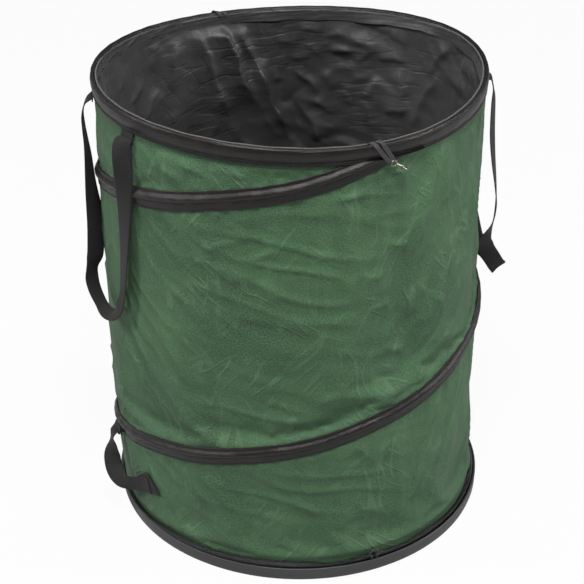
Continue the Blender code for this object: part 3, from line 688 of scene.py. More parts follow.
def settled(name, azimuth, radius, height, held, slack, stiffness, cap, frames=24):
    """Runs the cloth solver on a grid and keeps how far each point went in or out, up to cap. slack is
    the share by which the cloth was cut too large."""
    start = drum_place(azimuth, radius, height)
    push = 0.0024 * uneven(azimuth, height, 0.075, 5.0) * (1 - held)
    first = start + outward(azimuth) * push[..., None]
    cloth = grid_mesh(name, first, None, (1, 1), wrap_columns=True)
    group = cloth.vertex_groups.new(name="stitches")
    group.add(np.flatnonzero(held.ravel() > 0.5).tolist(), 1.0, "REPLACE")
    solver = cloth.modifiers.new("settle", "CLOTH")
    rules = solver.settings
    rules.vertex_group_mass = "stitches"
    rules.shrink_min = -slack
    rules.quality = 5
    rules.mass = 0.12
    rules.air_damping = 6.0
    rules.tension_stiffness = rules.compression_stiffness = 22
    rules.shear_stiffness = 9
    rules.bending_stiffness = stiffness
    solver.collision_settings.use_collision = False
    solver.collision_settings.use_self_collision = False
    solver.point_cache.frame_start, solver.point_cache.frame_end = 1, frames
    scene = bpy.context.scene
    for frame_number in range(1, frames + 1):
        scene.frame_set(frame_number)
    made = cloth.evaluated_get(bpy.context.evaluated_depsgraph_get()).data
    ended = np.zeros(len(made.vertices) * 3, np.float32)
    made.vertices.foreach_get("co", ended)
    scene.frame_set(1)
    bpy.data.objects.remove(cloth)
    normal = outward(azimuth)
    moved = ((ended.reshape(start.shape).astype(float) - start) * normal).sum(-1)
    print(name, "moved", round(float(moved.min()) * 1000, 1), "to", round(float(moved.max()) * 1000, 1), "mm")
    return start + normal * np.clip(moved, -cap, cap)[..., None]


def sewn_lines(azimuth, height, reach):
    ends = (height < WALL_HELD_BELOW) | (height > WALL_HELD_ABOVE)
    return (near_wire(azimuth, height, reach) | ends).astype(float)


def doubled(grid):
    """Twice as many rows and columns, on a smooth line through the old ones. Columns close round."""
    before, after = np.roll(grid, 1, 1), np.roll(grid, -1, 1)
    between = (9 * (grid + after) - before - np.roll(grid, -2, 1)) / 16
    wide = np.stack([grid, between], 2).reshape(grid.shape[0], -1, *grid.shape[2:])
    low, high = wide[:-1], wide[1:]
    under = np.concatenate([wide[:1], wide[:-2]])
    over = np.concatenate([wide[2:], wide[-1:]])
    middle = (9 * (low + high) - under - over) / 16
    tall = np.empty((2 * len(wide) - 1, *wide.shape[1:]))
    tall[::2], tall[1::2] = wide, middle
    return tall


held = sewn_lines(azimuths, heights, 0.013)
wall_points = settled("wall_cloth", azimuths, wall_radii, heights, held, 0.008, 6.0, 0.010)
wall_points = doubled(wall_points)
fine_azimuths, fine_heights = np.meshgrid(np.arange(2 * COLUMNS) * 180 / COLUMNS,
                                          np.linspace(heights.min(), heights.max(), 2 * ROWS + 1))
print("held points:", int(held.sum()), "fine grid", wall_points.shape[:2])

# %% [markdown]
# ## Creases
# A solver makes soft folds. Cloth that was stored flat also keeps hard creases. The ones that show in
# the picture are drawn one by one: each has two ends on the wall, a depth, and a width for either side,
# so that one side can be steep and the other a slow slope. The far side gets creases of the same kind,
# drawn by a seeded random choice. Over the whole wall come long slanting folds, as deep as the drawn
# ones, then fainter facets and swells.

# %% Creases
METRES_PER_DEGREE = math.pi * WALL_RADIUS / 180
NOISE_SEED = 1
# Without a seed of its own, noise_vector takes the clock's time, and each run would crumple differently.
noise.seed_set(NOISE_SEED)


def creased(azimuth, height, lines):
    """Relief in metres. A line is (angle, height) twice, then depth and both widths in millimetres."""
    relief = np.zeros(azimuth.shape)
    for a0, h0, a1, h1, depth, left, right in lines:
        x = (np.mod(azimuth - a0 + 180, 360) - 180) * METRES_PER_DEGREE
        y = height - h0
        dx, dy = (a1 - a0) * METRES_PER_DEGREE, h1 - h0
        length = math.hypot(dx, dy)
        along = (x * dx + y * dy) / length
        aside = ((x * dy - y * dx) / length + 0.0025 * np.sin(along * 70 + a0)
                 + 0.0012 * np.sin(along * 190 + h0 * 50))
        width = np.where(aside > 0, right, left) / 1000
        fade = (np.clip(along / (0.3 * length) + 0.15, 0, 1)
                * np.clip((length - along) / (0.4 * length) + 0.1, 0, 1))
        relief += depth / 1000 * np.exp(-np.abs(aside) / width) * fade * fade * (3 - 2 * fade)
    return relief


def chance_creases(seed, count, low, high, depth, slants):
    """Creases for the sides that the picture doesn't show."""
    draw = np.random.default_rng(seed)
    lines = []
    for _ in range(count):
        a0, h0 = draw.uniform(low, high), draw.uniform(0.10, 0.62)
        slant = math.radians(draw.choice(slants) + draw.uniform(-14, 14))
        length = draw.uniform(0.03, 0.10)
        a1 = a0 + length * math.cos(slant) / METRES_PER_DEGREE
        h1 = min(max(h0 + length * math.sin(slant), 0.05), 0.65)
        widths = draw.uniform(4, 6), draw.uniform(7, 18)
        deep = depth * draw.uniform(0.5, 1.1)
        if draw.random() >= 0.5:
            widths = widths[::-1]
        lines.append((a0, h0, a1, h1, deep, *widths))
    return lines


def pulled(azimuth, height, slants, length, width, seed):
    """Long sharp folds, between 0 and 1, where the cloth is pulled askew. slants gives their slope in
    degrees at even steps round the drum; between two steps one set fades into the next."""
    total = np.zeros(azimuth.shape)
    step = 360 / len(slants)
    for number, slant in enumerate(slants):
        off = np.mod(azimuth - number * step + 180, 360) - 180
        share = np.clip(1 - np.abs(off) / step, 0, 1)
        across, up = off * METRES_PER_DEGREE, height - 0.35
        turn = math.radians(slant)
        along = (across * math.cos(turn) + up * math.sin(turn)) / length
        aside = (up * math.cos(turn) - across * math.sin(turn)) / width
        for index in np.argwhere(share > 0):
            index = tuple(index)
            swell = noise.noise(Vector((along[index], aside[index], seed + 7.3 * number)))
            total[index] += share[index] * (1 - min(1.0, 2.4 * abs(swell))) ** 1.5
    return total


def crumple(azimuth, height, radius, size, slant, seed):
    """A height field with flat facets and sharp ridges, between 0 and 1."""
    values = np.zeros(azimuth.shape)
    a = np.radians(azimuth)
    for index in np.ndindex(azimuth.shape):
        spin = a[index] + slant * height[index]
        spot = Vector((math.cos(spin) * radius, math.sin(spin) * radius, height[index])) / size
        spot += Vector((seed, seed * 1.7, -seed))
        wobble = noise.noise_vector(spot * 0.7) * 0.45
        near = noise.voronoi(spot + wobble)[0]
        values[index] = near[1] - near[0]
    return np.clip(values, 0, 1)


def folded(azimuth, height, size, seed):
    """Smooth swells cut off where they meet, so that they join in sharp folds, as in crumpled cloth."""
    one, two, three, four = (uneven(azimuth, height, size, seed + 3.7 * n) for n in range(4))
    return np.maximum(np.minimum(one, two), np.minimum(three, four))


def away_from_seams(azimuth, height):
    levels = wire_levels(azimuth) - WIRE_ABOVE_MIDDLE
    gap = np.abs(levels - height[..., None]).min(-1)
    return np.clip((gap - 0.014) / 0.020, 0, 1) * np.clip((0.660 - height) / 0.018, 0, 1)


# %% [markdown]
# ## The green wall's own creases
# These were read off the picture, with a grid of angles and heights laid over it. Their depths and
# widths were then set by comparing renders with the picture.

# %% Creases of the green wall
wall_creases = [
    (-152, 0.34, -138, 0.25, 1.5, 8, 5), (-148, 0.38, -131, 0.27, 1.6, 8, 5),
    (-150, 0.42, -136, 0.34, 1.2, 7, 4), (-132, 0.40, -120, 0.30, 1.6, 10, 5),
    (-156, 0.29, -146, 0.21, 1.3, 6, 4), (-126, 0.46, -113, 0.40, 1.0, 10, 5),
    (-146, 0.33, -136, 0.22, 1.2, 5, 5), (-142, 0.64, -133, 0.585, 1.8, 8, 5),
    (-129, 0.648, -119, 0.612, 1.6, 8, 4), (-122, 0.655, -111, 0.628, 1.3, 6, 4),
    (-110, 0.655, -100, 0.638, 1.2, 6, 4), (-116, 0.535, -104, 0.548, 1.2, 4, 8),
    (-112, 0.505, -103, 0.490, 1.4, 5, 9), (-102, 0.527, -92, 0.540, 1.3, 4, 9),
    (-107, 0.580, -102, 0.545, 1.2, 5, 6), (-99, 0.495, -93, 0.462, 1.0, 8, 5),
    (-135, 0.168, -127, 0.120, 1.6, 7, 5), (-127, 0.175, -117, 0.100, 1.5, 9, 6),
    (-117, 0.170, -109, 0.110, 1.2, 7, 7), (-141, 0.150, -137, 0.095, 1.3, 5, 5),
    (-104, 0.245, -99, 0.195, 1.1, 6, 6), (-107, 0.350, -96, 0.330, 0.8, 12, 9),
    (-78, 0.615, -66, 0.622, 1.3, 5, 9), (-63, 0.617, -54, 0.642, 1.2, 5, 8),
    (-61, 0.528, -53, 0.532, 1.4, 4, 8), (-71, 0.502, -62, 0.484, 1.3, 5, 9),
    (-67, 0.442, -59, 0.447, 1.0, 4, 8), (-80, 0.430, -70, 0.445, 0.9, 5, 10),
    (-63, 0.376, -54, 0.354, 1.5, 5, 6), (-45, 0.610, -52, 0.490, 1.3, 5, 10),
    (-36, 0.630, -41, 0.500, 1.5, 5, 8), (-33, 0.510, -46, 0.370, 1.7, 5, 8),
    (-38, 0.430, -51, 0.330, 1.6, 6, 9), (-27, 0.480, -34, 0.360, 1.5, 4, 6),
    (-43, 0.370, -51, 0.290, 1.3, 5, 7), (-24, 0.580, -29, 0.470, 1.6, 4, 6),
    (-50, 0.470, -55, 0.390, 1.1, 5, 9), (-39, 0.270, -51, 0.160, 1.7, 6, 7),
    (-34, 0.225, -43, 0.130, 1.5, 5, 6), (-60, 0.225, -67, 0.185, 1.2, 5, 8),
    (-73, 0.248, -66, 0.195, 1.3, 5, 7), (-29, 0.200, -34, 0.110, 1.5, 5, 5),
    (-46, 0.150, -56, 0.085, 1.3, 6, 7), (-18, 0.560, -24, 0.440, 1.8, 5, 6),
    (-14, 0.440, -20, 0.370, 1.6, 4, 6), (-84, 0.310, -73, 0.325, 0.9, 5, 11),
    (-90, 0.150, -82, 0.105, 1.1, 7, 7), (-72, 0.130, -63, 0.095, 1.1, 7, 6)]
wall_creases += chance_creases(3, 46, -10, 200, 1.2, (-60, 55, 20))
relief = 3.0 * creased(fine_azimuths, fine_heights, wall_creases)
askew = 0.0027 + 0.0014 * np.cos(np.radians(fine_azimuths + 25))
relief += askew * pulled(fine_azimuths, fine_heights, (70, 62, -50, 60, -48, -42, -12, 70), 0.13, 0.030, 2.5)
relief += 0.0010 * crumple(fine_azimuths, fine_heights, WALL_RADIUS, 0.085, 2.4, 3.0)
relief += 0.0026 * uneven(fine_azimuths, fine_heights, 0.080, 9.0)
WALL_SETBACK = 0.0026
free = away_from_seams(fine_azimuths, fine_heights)
wall_points = wall_points + outward(fine_azimuths) * ((relief - WALL_SETBACK) * free)[..., None]
wall = grid_mesh("green_wall", wall_points, green.material, (float(np.ptp(heights)), WALL_GIRTH), False, True)
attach(wall, "base")
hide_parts("side_panel")
print("wall faces:", len(wall.data.polygons), "creases:", len(wall_creases))

# %% [markdown]
# ## The lining
# A second tube hangs just inside the first. It is stiffer and is held only at its two ends, and its
# creases are deeper: the ridges that show in the picture are drawn one by one, and folds where smooth
# swells meet fill the rest. Two cloths must not pass through each other, and a full collision test
# between them would be slow. Both grids have the same points, so each point of the lining is simply
# kept further in than the point of the wall beside it.

# %% Lining tube
LINING_GAP = 0.0012
LINING_GIRTH = 1.70

lining_start = wall_radii - 0.0040
held = ((heights < LINING_HELD_BELOW) | (heights > LINING_HELD_ABOVE)).astype(float)
lining_points = settled("lining_cloth", azimuths, lining_start, heights, held, 0.007, 12.0, 0.004)
lining_points = doubled(lining_points)
lining_creases = [
    (117.4, 0.712, 102, 0.505, 26, 30, 5), (102.5, 0.60, 90.5, 0.465, 21, 26, 5),
    (121, 0.655, 123, 0.57, 4, 12, 12), (110, 0.690, 96, 0.520, 11, 18, 5),
    (125, 0.690, 111, 0.480, 9, 18, 5), (97, 0.530, 86, 0.410, 10, 14, 5),
    (112, 0.500, 99, 0.390, 9, 14, 5), (131.5, 0.655, 136, 0.565, 8, 6, 24),
    (139, 0.580, 149, 0.535, 6, 14, 5), (147, 0.605, 159, 0.570, 6, 12, 5),
    (141, 0.662, 144, 0.61, 4, 8, 14), (134, 0.54, 134.5, 0.48, 4, 7, 14),
    (127, 0.63, 127.5, 0.50, 3, 20, 24), (116, 0.515, 121, 0.46, 4, 10, 6),
    (100, 0.505, 93, 0.452, 5, 12, 8), (108, 0.655, 104, 0.60, 5, 6, 12),
    (91, 0.597, 83, 0.598, 5, 4, 10), (90, 0.580, 80.5, 0.538, 8, 5, 16),
    (89, 0.530, 79, 0.445, 9, 6, 24), (92.5, 0.525, 86, 0.465, 7, 18, 5),
    (83, 0.532, 75, 0.498, 6, 5, 16), (77.5, 0.617, 69, 0.610, 5, 4, 10),
    (70, 0.598, 60, 0.622, 6, 5, 12), (60.5, 0.606, 49.5, 0.616, 7, 5, 14),
    (60.5, 0.580, 65.5, 0.53, 9, 8, 28), (65.5, 0.535, 62, 0.470, 7, 8, 24),
    (35, 0.615, 48.5, 0.495, 10, 12, 10), (51, 0.60, 50, 0.515, 8, 24, 6),
    (31, 0.655, 41, 0.598, 8, 14, 6), (58, 0.524, 46.5, 0.531, 6, 5, 14),
    (70, 0.565, 62, 0.581, 5, 5, 14), (80.5, 0.572, 75, 0.548, 5, 5, 14),
    (73.5, 0.547, 69, 0.518, 5, 14, 5), (88, 0.652, 79, 0.648, 4, 5, 12),
    (79, 0.636, 71, 0.643, 4, 5, 12), (100, 0.602, 93, 0.558, 5, 14, 6),
    (97, 0.565, 89, 0.556, 5, 5, 12), (20, 0.655, 18, 0.575, 3, 5, 6),
    (15, 0.650, 13, 0.590, 3, 4, 5), (25.5, 0.60, 24, 0.51, 3, 7, 7),
    (95, 0.635, 88, 0.622, 4, 4, 10), (86, 0.625, 80, 0.60, 4, 5, 8),
    (156, 0.64, 163, 0.60, 4, 12, 7), (57, 0.652, 49, 0.640, 4, 5, 10),
    (105, 0.56, 99, 0.50, 4, 5, 10), (85, 0.47, 77, 0.44, 5, 12, 6)]
lining_creases += chance_creases(8, 60, -190, 5, 7.5, (-70, 65, 10))
lining_creases += chance_creases(12, 24, 5, 175, 5.0, (-65, 60, 5))
creasy = np.clip(0.35 + 2.2 * uneven(fine_azimuths, fine_heights, 0.16, 21.0), 0.1, 1)
creasy *= 1 - 0.90 * np.exp(-((fine_azimuths - 140) / 42) ** 4)
relief = 0.75 * creased(fine_azimuths, fine_heights, lining_creases)
lining_slants = (80, 40, 12, 76, 78, -60, 55, -55)
relief += 0.0026 * creasy * pulled(fine_azimuths, fine_heights, lining_slants, 0.16, 0.040, 40.5)
relief += creasy * (0.017 * folded(fine_azimuths, 2.2 * fine_heights, 0.110, 31.0)
                    + 0.006 * folded(fine_azimuths, 1.6 * fine_heights, 0.050, 57.0) + 0.003)
edges = np.clip((0.664 - fine_heights) / 0.012, 0, 1) * np.clip((fine_heights - 0.012) / 0.03, 0, 1)
lining_points = lining_points - outward(fine_azimuths) * (relief * edges)[..., None]
gap = ((wall_points - lining_points) * outward(fine_azimuths)).sum(-1)
short = np.maximum(0, LINING_GAP - gap)
lining_points = lining_points - outward(fine_azimuths) * short[..., None]
lining_size = (float(np.ptp(heights)), LINING_GIRTH)
inner_cloth = grid_mesh("black_lining", lining_points, lining.material, lining_size, False, True)
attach(inner_cloth, "base")
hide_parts("inner_lining")
print("lining kept in at", int((short > 0).sum()), "points")

# %% [markdown]
# ## Hems at the rim
# Both cloths are sewn into the rim sleeve. When the bag is pressed flat, the strip nearest to the rim
# stays with it and the rest crumples below. So each cloth has a low second strip that belongs to the
# rim. While the bag stands open, these strips lie hidden between the wall and the lining.

# %% Hem strips
HEM_LOW = 0.643
hem_rows = fine_heights[:, 0] > HEM_LOW
for name, points, inwards, finish, slot in (("green_hem", wall_points, 0.0004, green, "green_cloth"),
                                            ("black_hem", lining_points, -0.0003, lining, "lining_cloth")):
    strip = (points - outward(fine_azimuths) * inwards)[hem_rows]
    hem = grid_mesh(name, strip, finish.material, (CLOTH_TOP - HEM_LOW, LINING_GIRTH), False, True)
    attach(hem, "rim")
    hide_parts("rim_sleeve")
print("hem rows:", int(hem_rows.sum()))

# %% [markdown]
# ## The cloth floor
# Inside, the lining's floor lies on the tray. It is a disc of the same cloth, a little rumpled. It is
# drawn as rings of points, so that its edge is round like the wall's foot. Its UV map is then laid out
# flat, because a map that runs round a disc would stretch the weave into rays.

# %% Floor cloth
def rumpled_disc(name, radius, height, rings, finish):
    azimuth, reach = np.meshgrid(np.arange(120) * 3.0, np.linspace(0.004, 1, rings))
    a = np.radians(azimuth)
    x, y = np.cos(a) * reach * radius, np.sin(a) * reach * radius
    rise = np.zeros(x.shape)
    for index in np.ndindex(x.shape):
        spot = Vector((x[index], y[index], 0.3)) / 0.10
        near = noise.voronoi(spot + noise.noise_vector(spot) * 0.4)[0]
        rise[index] = min(1.0, near[1] - near[0])
    calm = np.clip((1 - reach) / 0.08, 0, 1)
    points = np.stack([x, y, height + 0.0035 * rise * calm], -1)
    disc = grid_mesh(name, points, finish, (radius, 6.28 * radius), False, True, True)
    corners = [disc.data.vertices[loop.vertex_index].co[:2] for loop in disc.data.loops]
    disc.data.uv_layers["metres"].data.foreach_set("uv", np.array(corners, np.float32).ravel())
    return disc


floor_low, floor_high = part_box("floor_panel")
floor_cloth = rumpled_disc("floor_cloth", 0.2690, floor_high.z + 0.0004, 44, lining.material)
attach(floor_cloth, "base")
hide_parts("floor_panel")
print("floor cloth at", round(floor_high.z, 4))

# %% [markdown]
# ## Sleeves round the drum
# The rim sleeve, the base binding and the spiral sleeve are the same idea: a folded tape that bulges
# over a wire. Each is a closed outline, given as distance from the middle and height, and carried round
# the drum. A small wobble that depends on the angle gives the puckers of machine sewing.

# %% Outlines and puckers
def pucker(azimuth, level, step, depth):
    """Small waves along a seam, with no two alike."""
    a = np.asarray(azimuth, float)
    return depth * (np.sin(np.radians(a * 360 / step)) * 0.5
                    + np.sin(np.radians(a * 233 / step + 40 * level)) * 0.3
                    + np.sin(np.radians(a * 91 / step + 75 * level)) * 0.4)


def thick_outline(outside, thickness):
    """Closes an open profile into the outline of a tape with that thickness."""
    outside = np.asarray(outside, float)
    ahead = unit(np.gradient(outside, axis=0))
    normal = np.stack([ahead[:, 1], -ahead[:, 0]], -1)
    return np.vstack([outside, (outside - normal * thickness)[::-1]])


def carried_round(name, outline, columns, finish, wobble, lift=0.0, warp=None):
    """Carries an outline of (distance, height) once round the drum. warp gives how far a point of the
    outline moves outwards and up at each angle."""
    azimuth = np.arange(columns) * 360 / columns
    rows = []
    for level, (radius, height) in enumerate(outline):
        puff = wobble * pucker(azimuth, level % (len(outline) // 2), 7.0, 1.0)
        out, up = warp(azimuth, radius, height) if warp else (0, 0)
        rows.append(drum_place(azimuth, radius + puff + out, height + lift * puff + up))
    points = np.array(rows)
    girth = run_length(np.array(outline))
    return grid_mesh(name, points, finish, (girth, 1.74), True, True)


# %% [markdown]
# ## Rim sleeve, facing and piping
# The sleeve is a soft tube over the rim wire, pulled flatter at the left and right by the handles. Inside
# hangs a facing of lining cloth with a loose lower edge, and a grey piping runs where the two meet.

# %% Rim sleeve
RIM_OUTLINE = ((0.2740, RIM_TAPE_EDGE), (0.2741, 0.6630), (0.2742, 0.6662), (0.2748, 0.6674),
               (0.2764, 0.6700), (0.2780, 0.6738), (0.2787, 0.6780), (0.2786, 0.6815), (0.2777, 0.6844),
               (0.2760, 0.6860), (0.2738, 0.6863), (0.2719, 0.6852), (0.2707, 0.6835), (0.2698, 0.6826))
FACING_OUTLINE = ((0.2700, 0.6826), (0.2688, 0.6824), (0.2679, 0.6805), (0.2677, 0.6770), (0.2676, 0.6730),
                  (0.2676, 0.6690), (0.2677, 0.6650))


def narrow_sides(azimuth, radius, height):
    """The handles pull the tube flat at the left and right."""
    bulge = np.clip((radius - 0.2742) / 0.004, 0, 1)
    return -0.0024 * bulge * np.cos(np.radians(azimuth)) ** 2, 0.0


def loose_edge(azimuth, radius, height):
    """The facing's lower edge isn't sewn tight: it stands off and wanders up and down. At the back left
    it is turned under."""
    down = np.clip((0.6815 - height) / 0.0165, 0, 1)
    a = np.radians(azimuth)
    wander = 0.5 * np.sin(5 * a + 0.7) + 0.35 * np.sin(11 * a + 2.0) + 0.3 * np.sin(23 * a)
    stand = 0.0026 + 0.0018 * np.sin(7 * a + 1.2) + 0.0008 * np.sin(19 * a)
    tucked = np.exp(-((azimuth - 140) / 44) ** 6)
    out = down ** 1.5 * np.maximum(stand, 0.0004) * (1 - tucked)
    return -out, -0.0028 * down ** 2 * wander * (1 - tucked) + 0.0005 * down * tucked


rim_profile = thick_outline(smooth_course(RIM_OUTLINE, 36)[::-1], -0.0009)
rim_sleeve = carried_round("rim_sleeve_tape", rim_profile, 480, sleeve_tape, 0.00028, 0.6, narrow_sides)
facing_profile = thick_outline(smooth_course(FACING_OUTLINE, 18)[::-1], -0.0007)
rim_facing = carried_round("rim_facing", facing_profile, 480, lining.material, 0.00035, 0.6, loose_edge)
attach(rim_facing, "rim")
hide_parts("rim_sleeve")
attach(rim_sleeve, "rim")
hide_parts("rim_sleeve")

around = np.arange(0, 360, 1.0)
rim_wire_line = drum_place(around, 0.2745, RIM_WIRE_HEIGHT - 0.0025)
rim_wire = round_cord("rim_wire", rim_wire_line, 0.0018, wire_steel, True)
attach(rim_wire, "rim")
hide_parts("rim_hoop")

rolled = np.exp(-((around - 106) / 70) ** 6)
piping_height = 0.6840 - 0.0048 * rolled + 0.0003 * np.sin(np.radians(around * 31))
piping_line = drum_place(around, 0.2681 + 0.0034 * rolled, piping_height)
piping = round_cord("rim_piping_cord", piping_line, 0.00125, piping_yarn, True, 10)
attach(piping, "rim")
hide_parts("rim_piping")
print("rim sleeve:", len(rim_sleeve.data.polygons), "faces")

# %% [markdown]
# ## Base binding
# A tape with a pile covers the lower wire and the seam to the tray. It is carried round in the same way
# as the sleeve, and its upper edge dips in a few places, because such a tape is sewn by eye.

# %% Base binding
BASE_OUTLINE = ((0.2733, 0.0060), (0.2735, 0.0150), (0.2739, 0.0206), (0.2752, 0.0222), (0.2772, 0.0234),
                (0.2780, 0.0252), (0.2774, 0.0272), (0.2756, 0.0288), (0.2743, 0.0300), (0.2739, 0.0316))
BASE_DIPS = ((-78, 6, 0.0055), (-150, 12, 0.0050), (-55, 8, 0.0030),
             (-28, 14, 0.0050), (60, 16, 0.004), (140, 12, 0.004))


def sagging_edge(azimuth, radius, height):
    """The binding was sewn by eye: in a few places its upper edge sits lower."""
    top = np.clip((height - 0.0275) / 0.0035, 0, 1) + 0.15
    sag = sum(dip * np.exp(-((np.mod(azimuth - at + 180, 360) - 180) / reach) ** 2)
              for at, reach, dip in BASE_DIPS)
    return 0.0006 * np.sin(np.radians(azimuth * 5)) * top, -sag * top


base_profile = thick_outline(smooth_course(BASE_OUTLINE, 22), 0.0009)
binding = carried_round("base_binding_tape", base_profile, 480, base_tape, 0.00022, 1.6, sagging_edge)
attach(binding, "base")
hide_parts("base_binding")
wire_dip = sagging_edge(around, 0.2741, 0.0)[1]
base_wire_line = drum_place(around, 0.2748, BASE_WIRE_HEIGHT + wire_dip)
base_wire = round_cord("base_wire", base_wire_line, 0.0013, wire_steel, True)
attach(base_wire, "base")
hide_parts("base_hoop")
print("base binding:", len(binding.data.polygons), "faces")

# %% [markdown]
# ## The spiral sleeve
# This tape is sewn flat along both edges and bulges over the wire a little above its middle. Near the
# rim and near the base it runs in under the other tapes, so there its profile is cut off at their
# edges. The wire is inside it.

# %% Spiral sleeve
SPIRAL_PROFILE = ((-0.0142, 0.0009), (-0.0095, 0.0012), (-0.0045, 0.0013), (-0.0024, 0.0020),
                  (-0.0004, 0.0042), (0.0016, 0.0054), (0.0034, 0.0057), (0.0052, 0.0052),
                  (0.0074, 0.0036), (0.0092, 0.0018), (0.0112, 0.0011), (0.0142, 0.0009))


def spiral_band(count=780, across=24):
    turned = np.linspace(SPIRAL_START, SPIRAL_END, count)
    profile = smooth_course(SPIRAL_PROFILE, across)
    outside, inside = [], []
    for offset, bulge in profile:
        wave = pucker(turned, offset * 300, 6.0, 0.00030)
        height = np.clip(spiral_height(turned) + offset + wave * 1.5, 0.0300, 0.6640)
        skin = WALL_RADIUS - waist_depth(turned, height)
        outside.append(drum_place(turned, skin + bulge + wave, height))
        inside.append(drum_place(turned, skin + bulge * 0.2 - 0.0003, height))
    return np.array(outside + inside[::-1])


band = spiral_band()
spiral = grid_mesh("spiral_sleeve_tape", band, sleeve_tape, (0.054, run_length(band[12])), True, False, True)
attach(spiral, "base")
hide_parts("spiral_sleeve")

wire_turn = np.linspace(SPIRAL_START - 6, SPIRAL_END + 6, 420)
wire_height = spiral_height(wire_turn) + WIRE_ABOVE_MIDDLE
covered = (wire_height > 0.036) & (wire_height < 0.656)
wire_turn, wire_height = wire_turn[covered], wire_height[covered]
wire_radius = WALL_RADIUS - waist_depth(wire_turn, wire_height) + 0.0026
spiral_wire = round_cord("spiral_wire", drum_place(wire_turn, wire_radius, wire_height), 0.0018, wire_steel)
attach(spiral_wire, "base")
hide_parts("spiral_spring")
print("spiral tape is", round(run_length(band[12]), 3), "m long")

# %% [markdown]
# ## The moulded tray
# The tray is turned from half of its section. The solid model has holes and sunk places for the four
# rivets, so they are cut here as well.

# %% Tray
TRAY_OUTLINE = ((0.0, 0.003), (0.2735, 0.003), (0.2762, 0.0038), (0.2770, 0.0062), (0.2770, 0.0212),
                (0.2775, 0.0219), (0.2792, 0.0220), (0.2799, 0.0214), (0.2800, 0.0200), (0.2795, 0.0060),
                (0.2784, 0.0026), (0.2764, 0.0006), (0.2740, 0.0), (0.0, 0.0))
section = bpy.data.meshes.new("moulded_tray")
section.from_pydata([(r, 0, z) for r, z in TRAY_OUTLINE],
                    [(i, i + 1) for i in range(len(TRAY_OUTLINE) - 1)], [])
tray = bpy.data.objects.new("moulded_tray", section)
bpy.context.scene.collection.objects.link(tray)
spin = tray.modifiers.new("spin", "SCREW")
spin.steps = spin.render_steps = 192
spin.use_merge_vertices = True
spin.use_smooth_shade = True
keep_shape(tray)

drill = bmesh.new()
for name in sorted(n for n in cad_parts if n.startswith("base_rivet")):
    low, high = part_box(name)
    middle = (low + high) / 2
    for radius, foot, top in ((0.0028, -0.01, 0.01), (0.0063, -0.01, 0.0015)):
        place = Matrix.Translation((middle.x, middle.y, (foot + top) / 2))
        bmesh.ops.create_cone(drill, cap_ends=True, segments=32, radius1=radius, radius2=radius,
                              depth=top - foot, matrix=place)
drill_mesh = bpy.data.meshes.new("drill")
drill.to_mesh(drill_mesh)
drill.free()
drills = bpy.data.objects.new("drill", drill_mesh)
bpy.context.scene.collection.objects.link(drills)
holes = tray.modifiers.new("holes", "BOOLEAN")
holes.object, holes.operation, holes.solver, holes.use_self = drills, "DIFFERENCE", "EXACT", True
edges_round = tray.modifiers.new("edges", "BEVEL")
edges_round.width, edges_round.segments, edges_round.limit_method = 0.0004, 2, "ANGLE"
edges_round.angle_limit = math.radians(50)
keep_shape(tray)
bpy.data.objects.remove(drills)
tray.data.materials.clear()
tray.data.materials.append(tray_plastic)
tray.data.set_sharp_from_angle(angle=math.radians(40))
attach(tray, "base")
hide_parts("base_tray")
print("tray:", len(tray.data.polygons), "faces")

# %% [markdown]
# ## Straps
# A webbing strap is flat and can only bend over its face or twist along its length. So each strap is
# described by a few knots on its middle line, and at each knot by the direction in which its width
# points. The helper threads a smooth line through the knots, keeps the width square to it, and wraps a
# thin rounded section around it.

# %% Strap helper
def along_drum(azimuth):
    a = np.radians(azimuth)
    return np.stack([-np.sin(a), np.cos(a), 0 * a], -1)


def strap(name, knots, width, thickness, finish, count=110, squared=True):
    """knots are (angle, distance, height, width round the drum, width outwards, width upwards). A strap
    that isn't squared may be cut off at a slant."""
    course = smooth_course(knots, count)
    line = drum_place(course[:, 0], course[:, 1], course[:, 2])
    ahead = unit(np.gradient(line, axis=0))
    across = (course[:, 3:4] * along_drum(course[:, 0]) + course[:, 4:5] * outward(course[:, 0])
              + course[:, 5:6] * np.array([0, 0, 1.0]))
    if squared:
        across = unit(across - ahead * (across * ahead).sum(-1, keepdims=True))
    face = unit(np.cross(across, ahead))
    section = ((-0.5, 0.0), (-0.48, 0.38), (-0.40, 0.50), (-0.15, 0.46), (0.15, 0.46), (0.40, 0.50),
               (0.48, 0.38), (0.5, 0.0), (0.48, -0.38), (0.40, -0.50), (0.15, -0.46), (-0.15, -0.46),
               (-0.40, -0.50), (-0.48, -0.38))
    rows = [line + across * (s * width) + face * (t * thickness) for s, t in section]
    length = run_length(line)
    made = grid_mesh(name, np.array(rows), finish, (2 * width, length), True, False, True)
    print(name, "is", round(length, 3), "m long")
    return made


# %% [markdown]
# ## Reading a strap's course off the picture
# A strap hangs free, so nothing measured says where it runs. Points on its middle line were read off the
# picture, in pixels from its top left corner. A pixel gives only a line of sight. So each point also has
# the angle round the drum or the distance from its middle, as judged, and the camera gives the rest.
# Places that the picture hides, or that a point from the picture didn't settle, are written down directly.

# %% Places from picture points
PICTURE_SIZE = 584
WORLD_TO_CAMERA = np.array(camera.matrix_world.inverted())
FIRST_GUESS = (-150.0, 0.285, 0.40)


def in_picture(place):
    """Where a place in metres shows, as a column and a row of the picture."""
    right, up, behind = (WORLD_TO_CAMERA @ np.append(place, 1.0))[:3]
    zoom = CAMERA_LENS / SENSOR_WIDTH * PICTURE_SIZE / -behind
    return np.array([PICTURE_SIZE / 2 + zoom * right, PICTURE_SIZE / 2 - zoom * up])


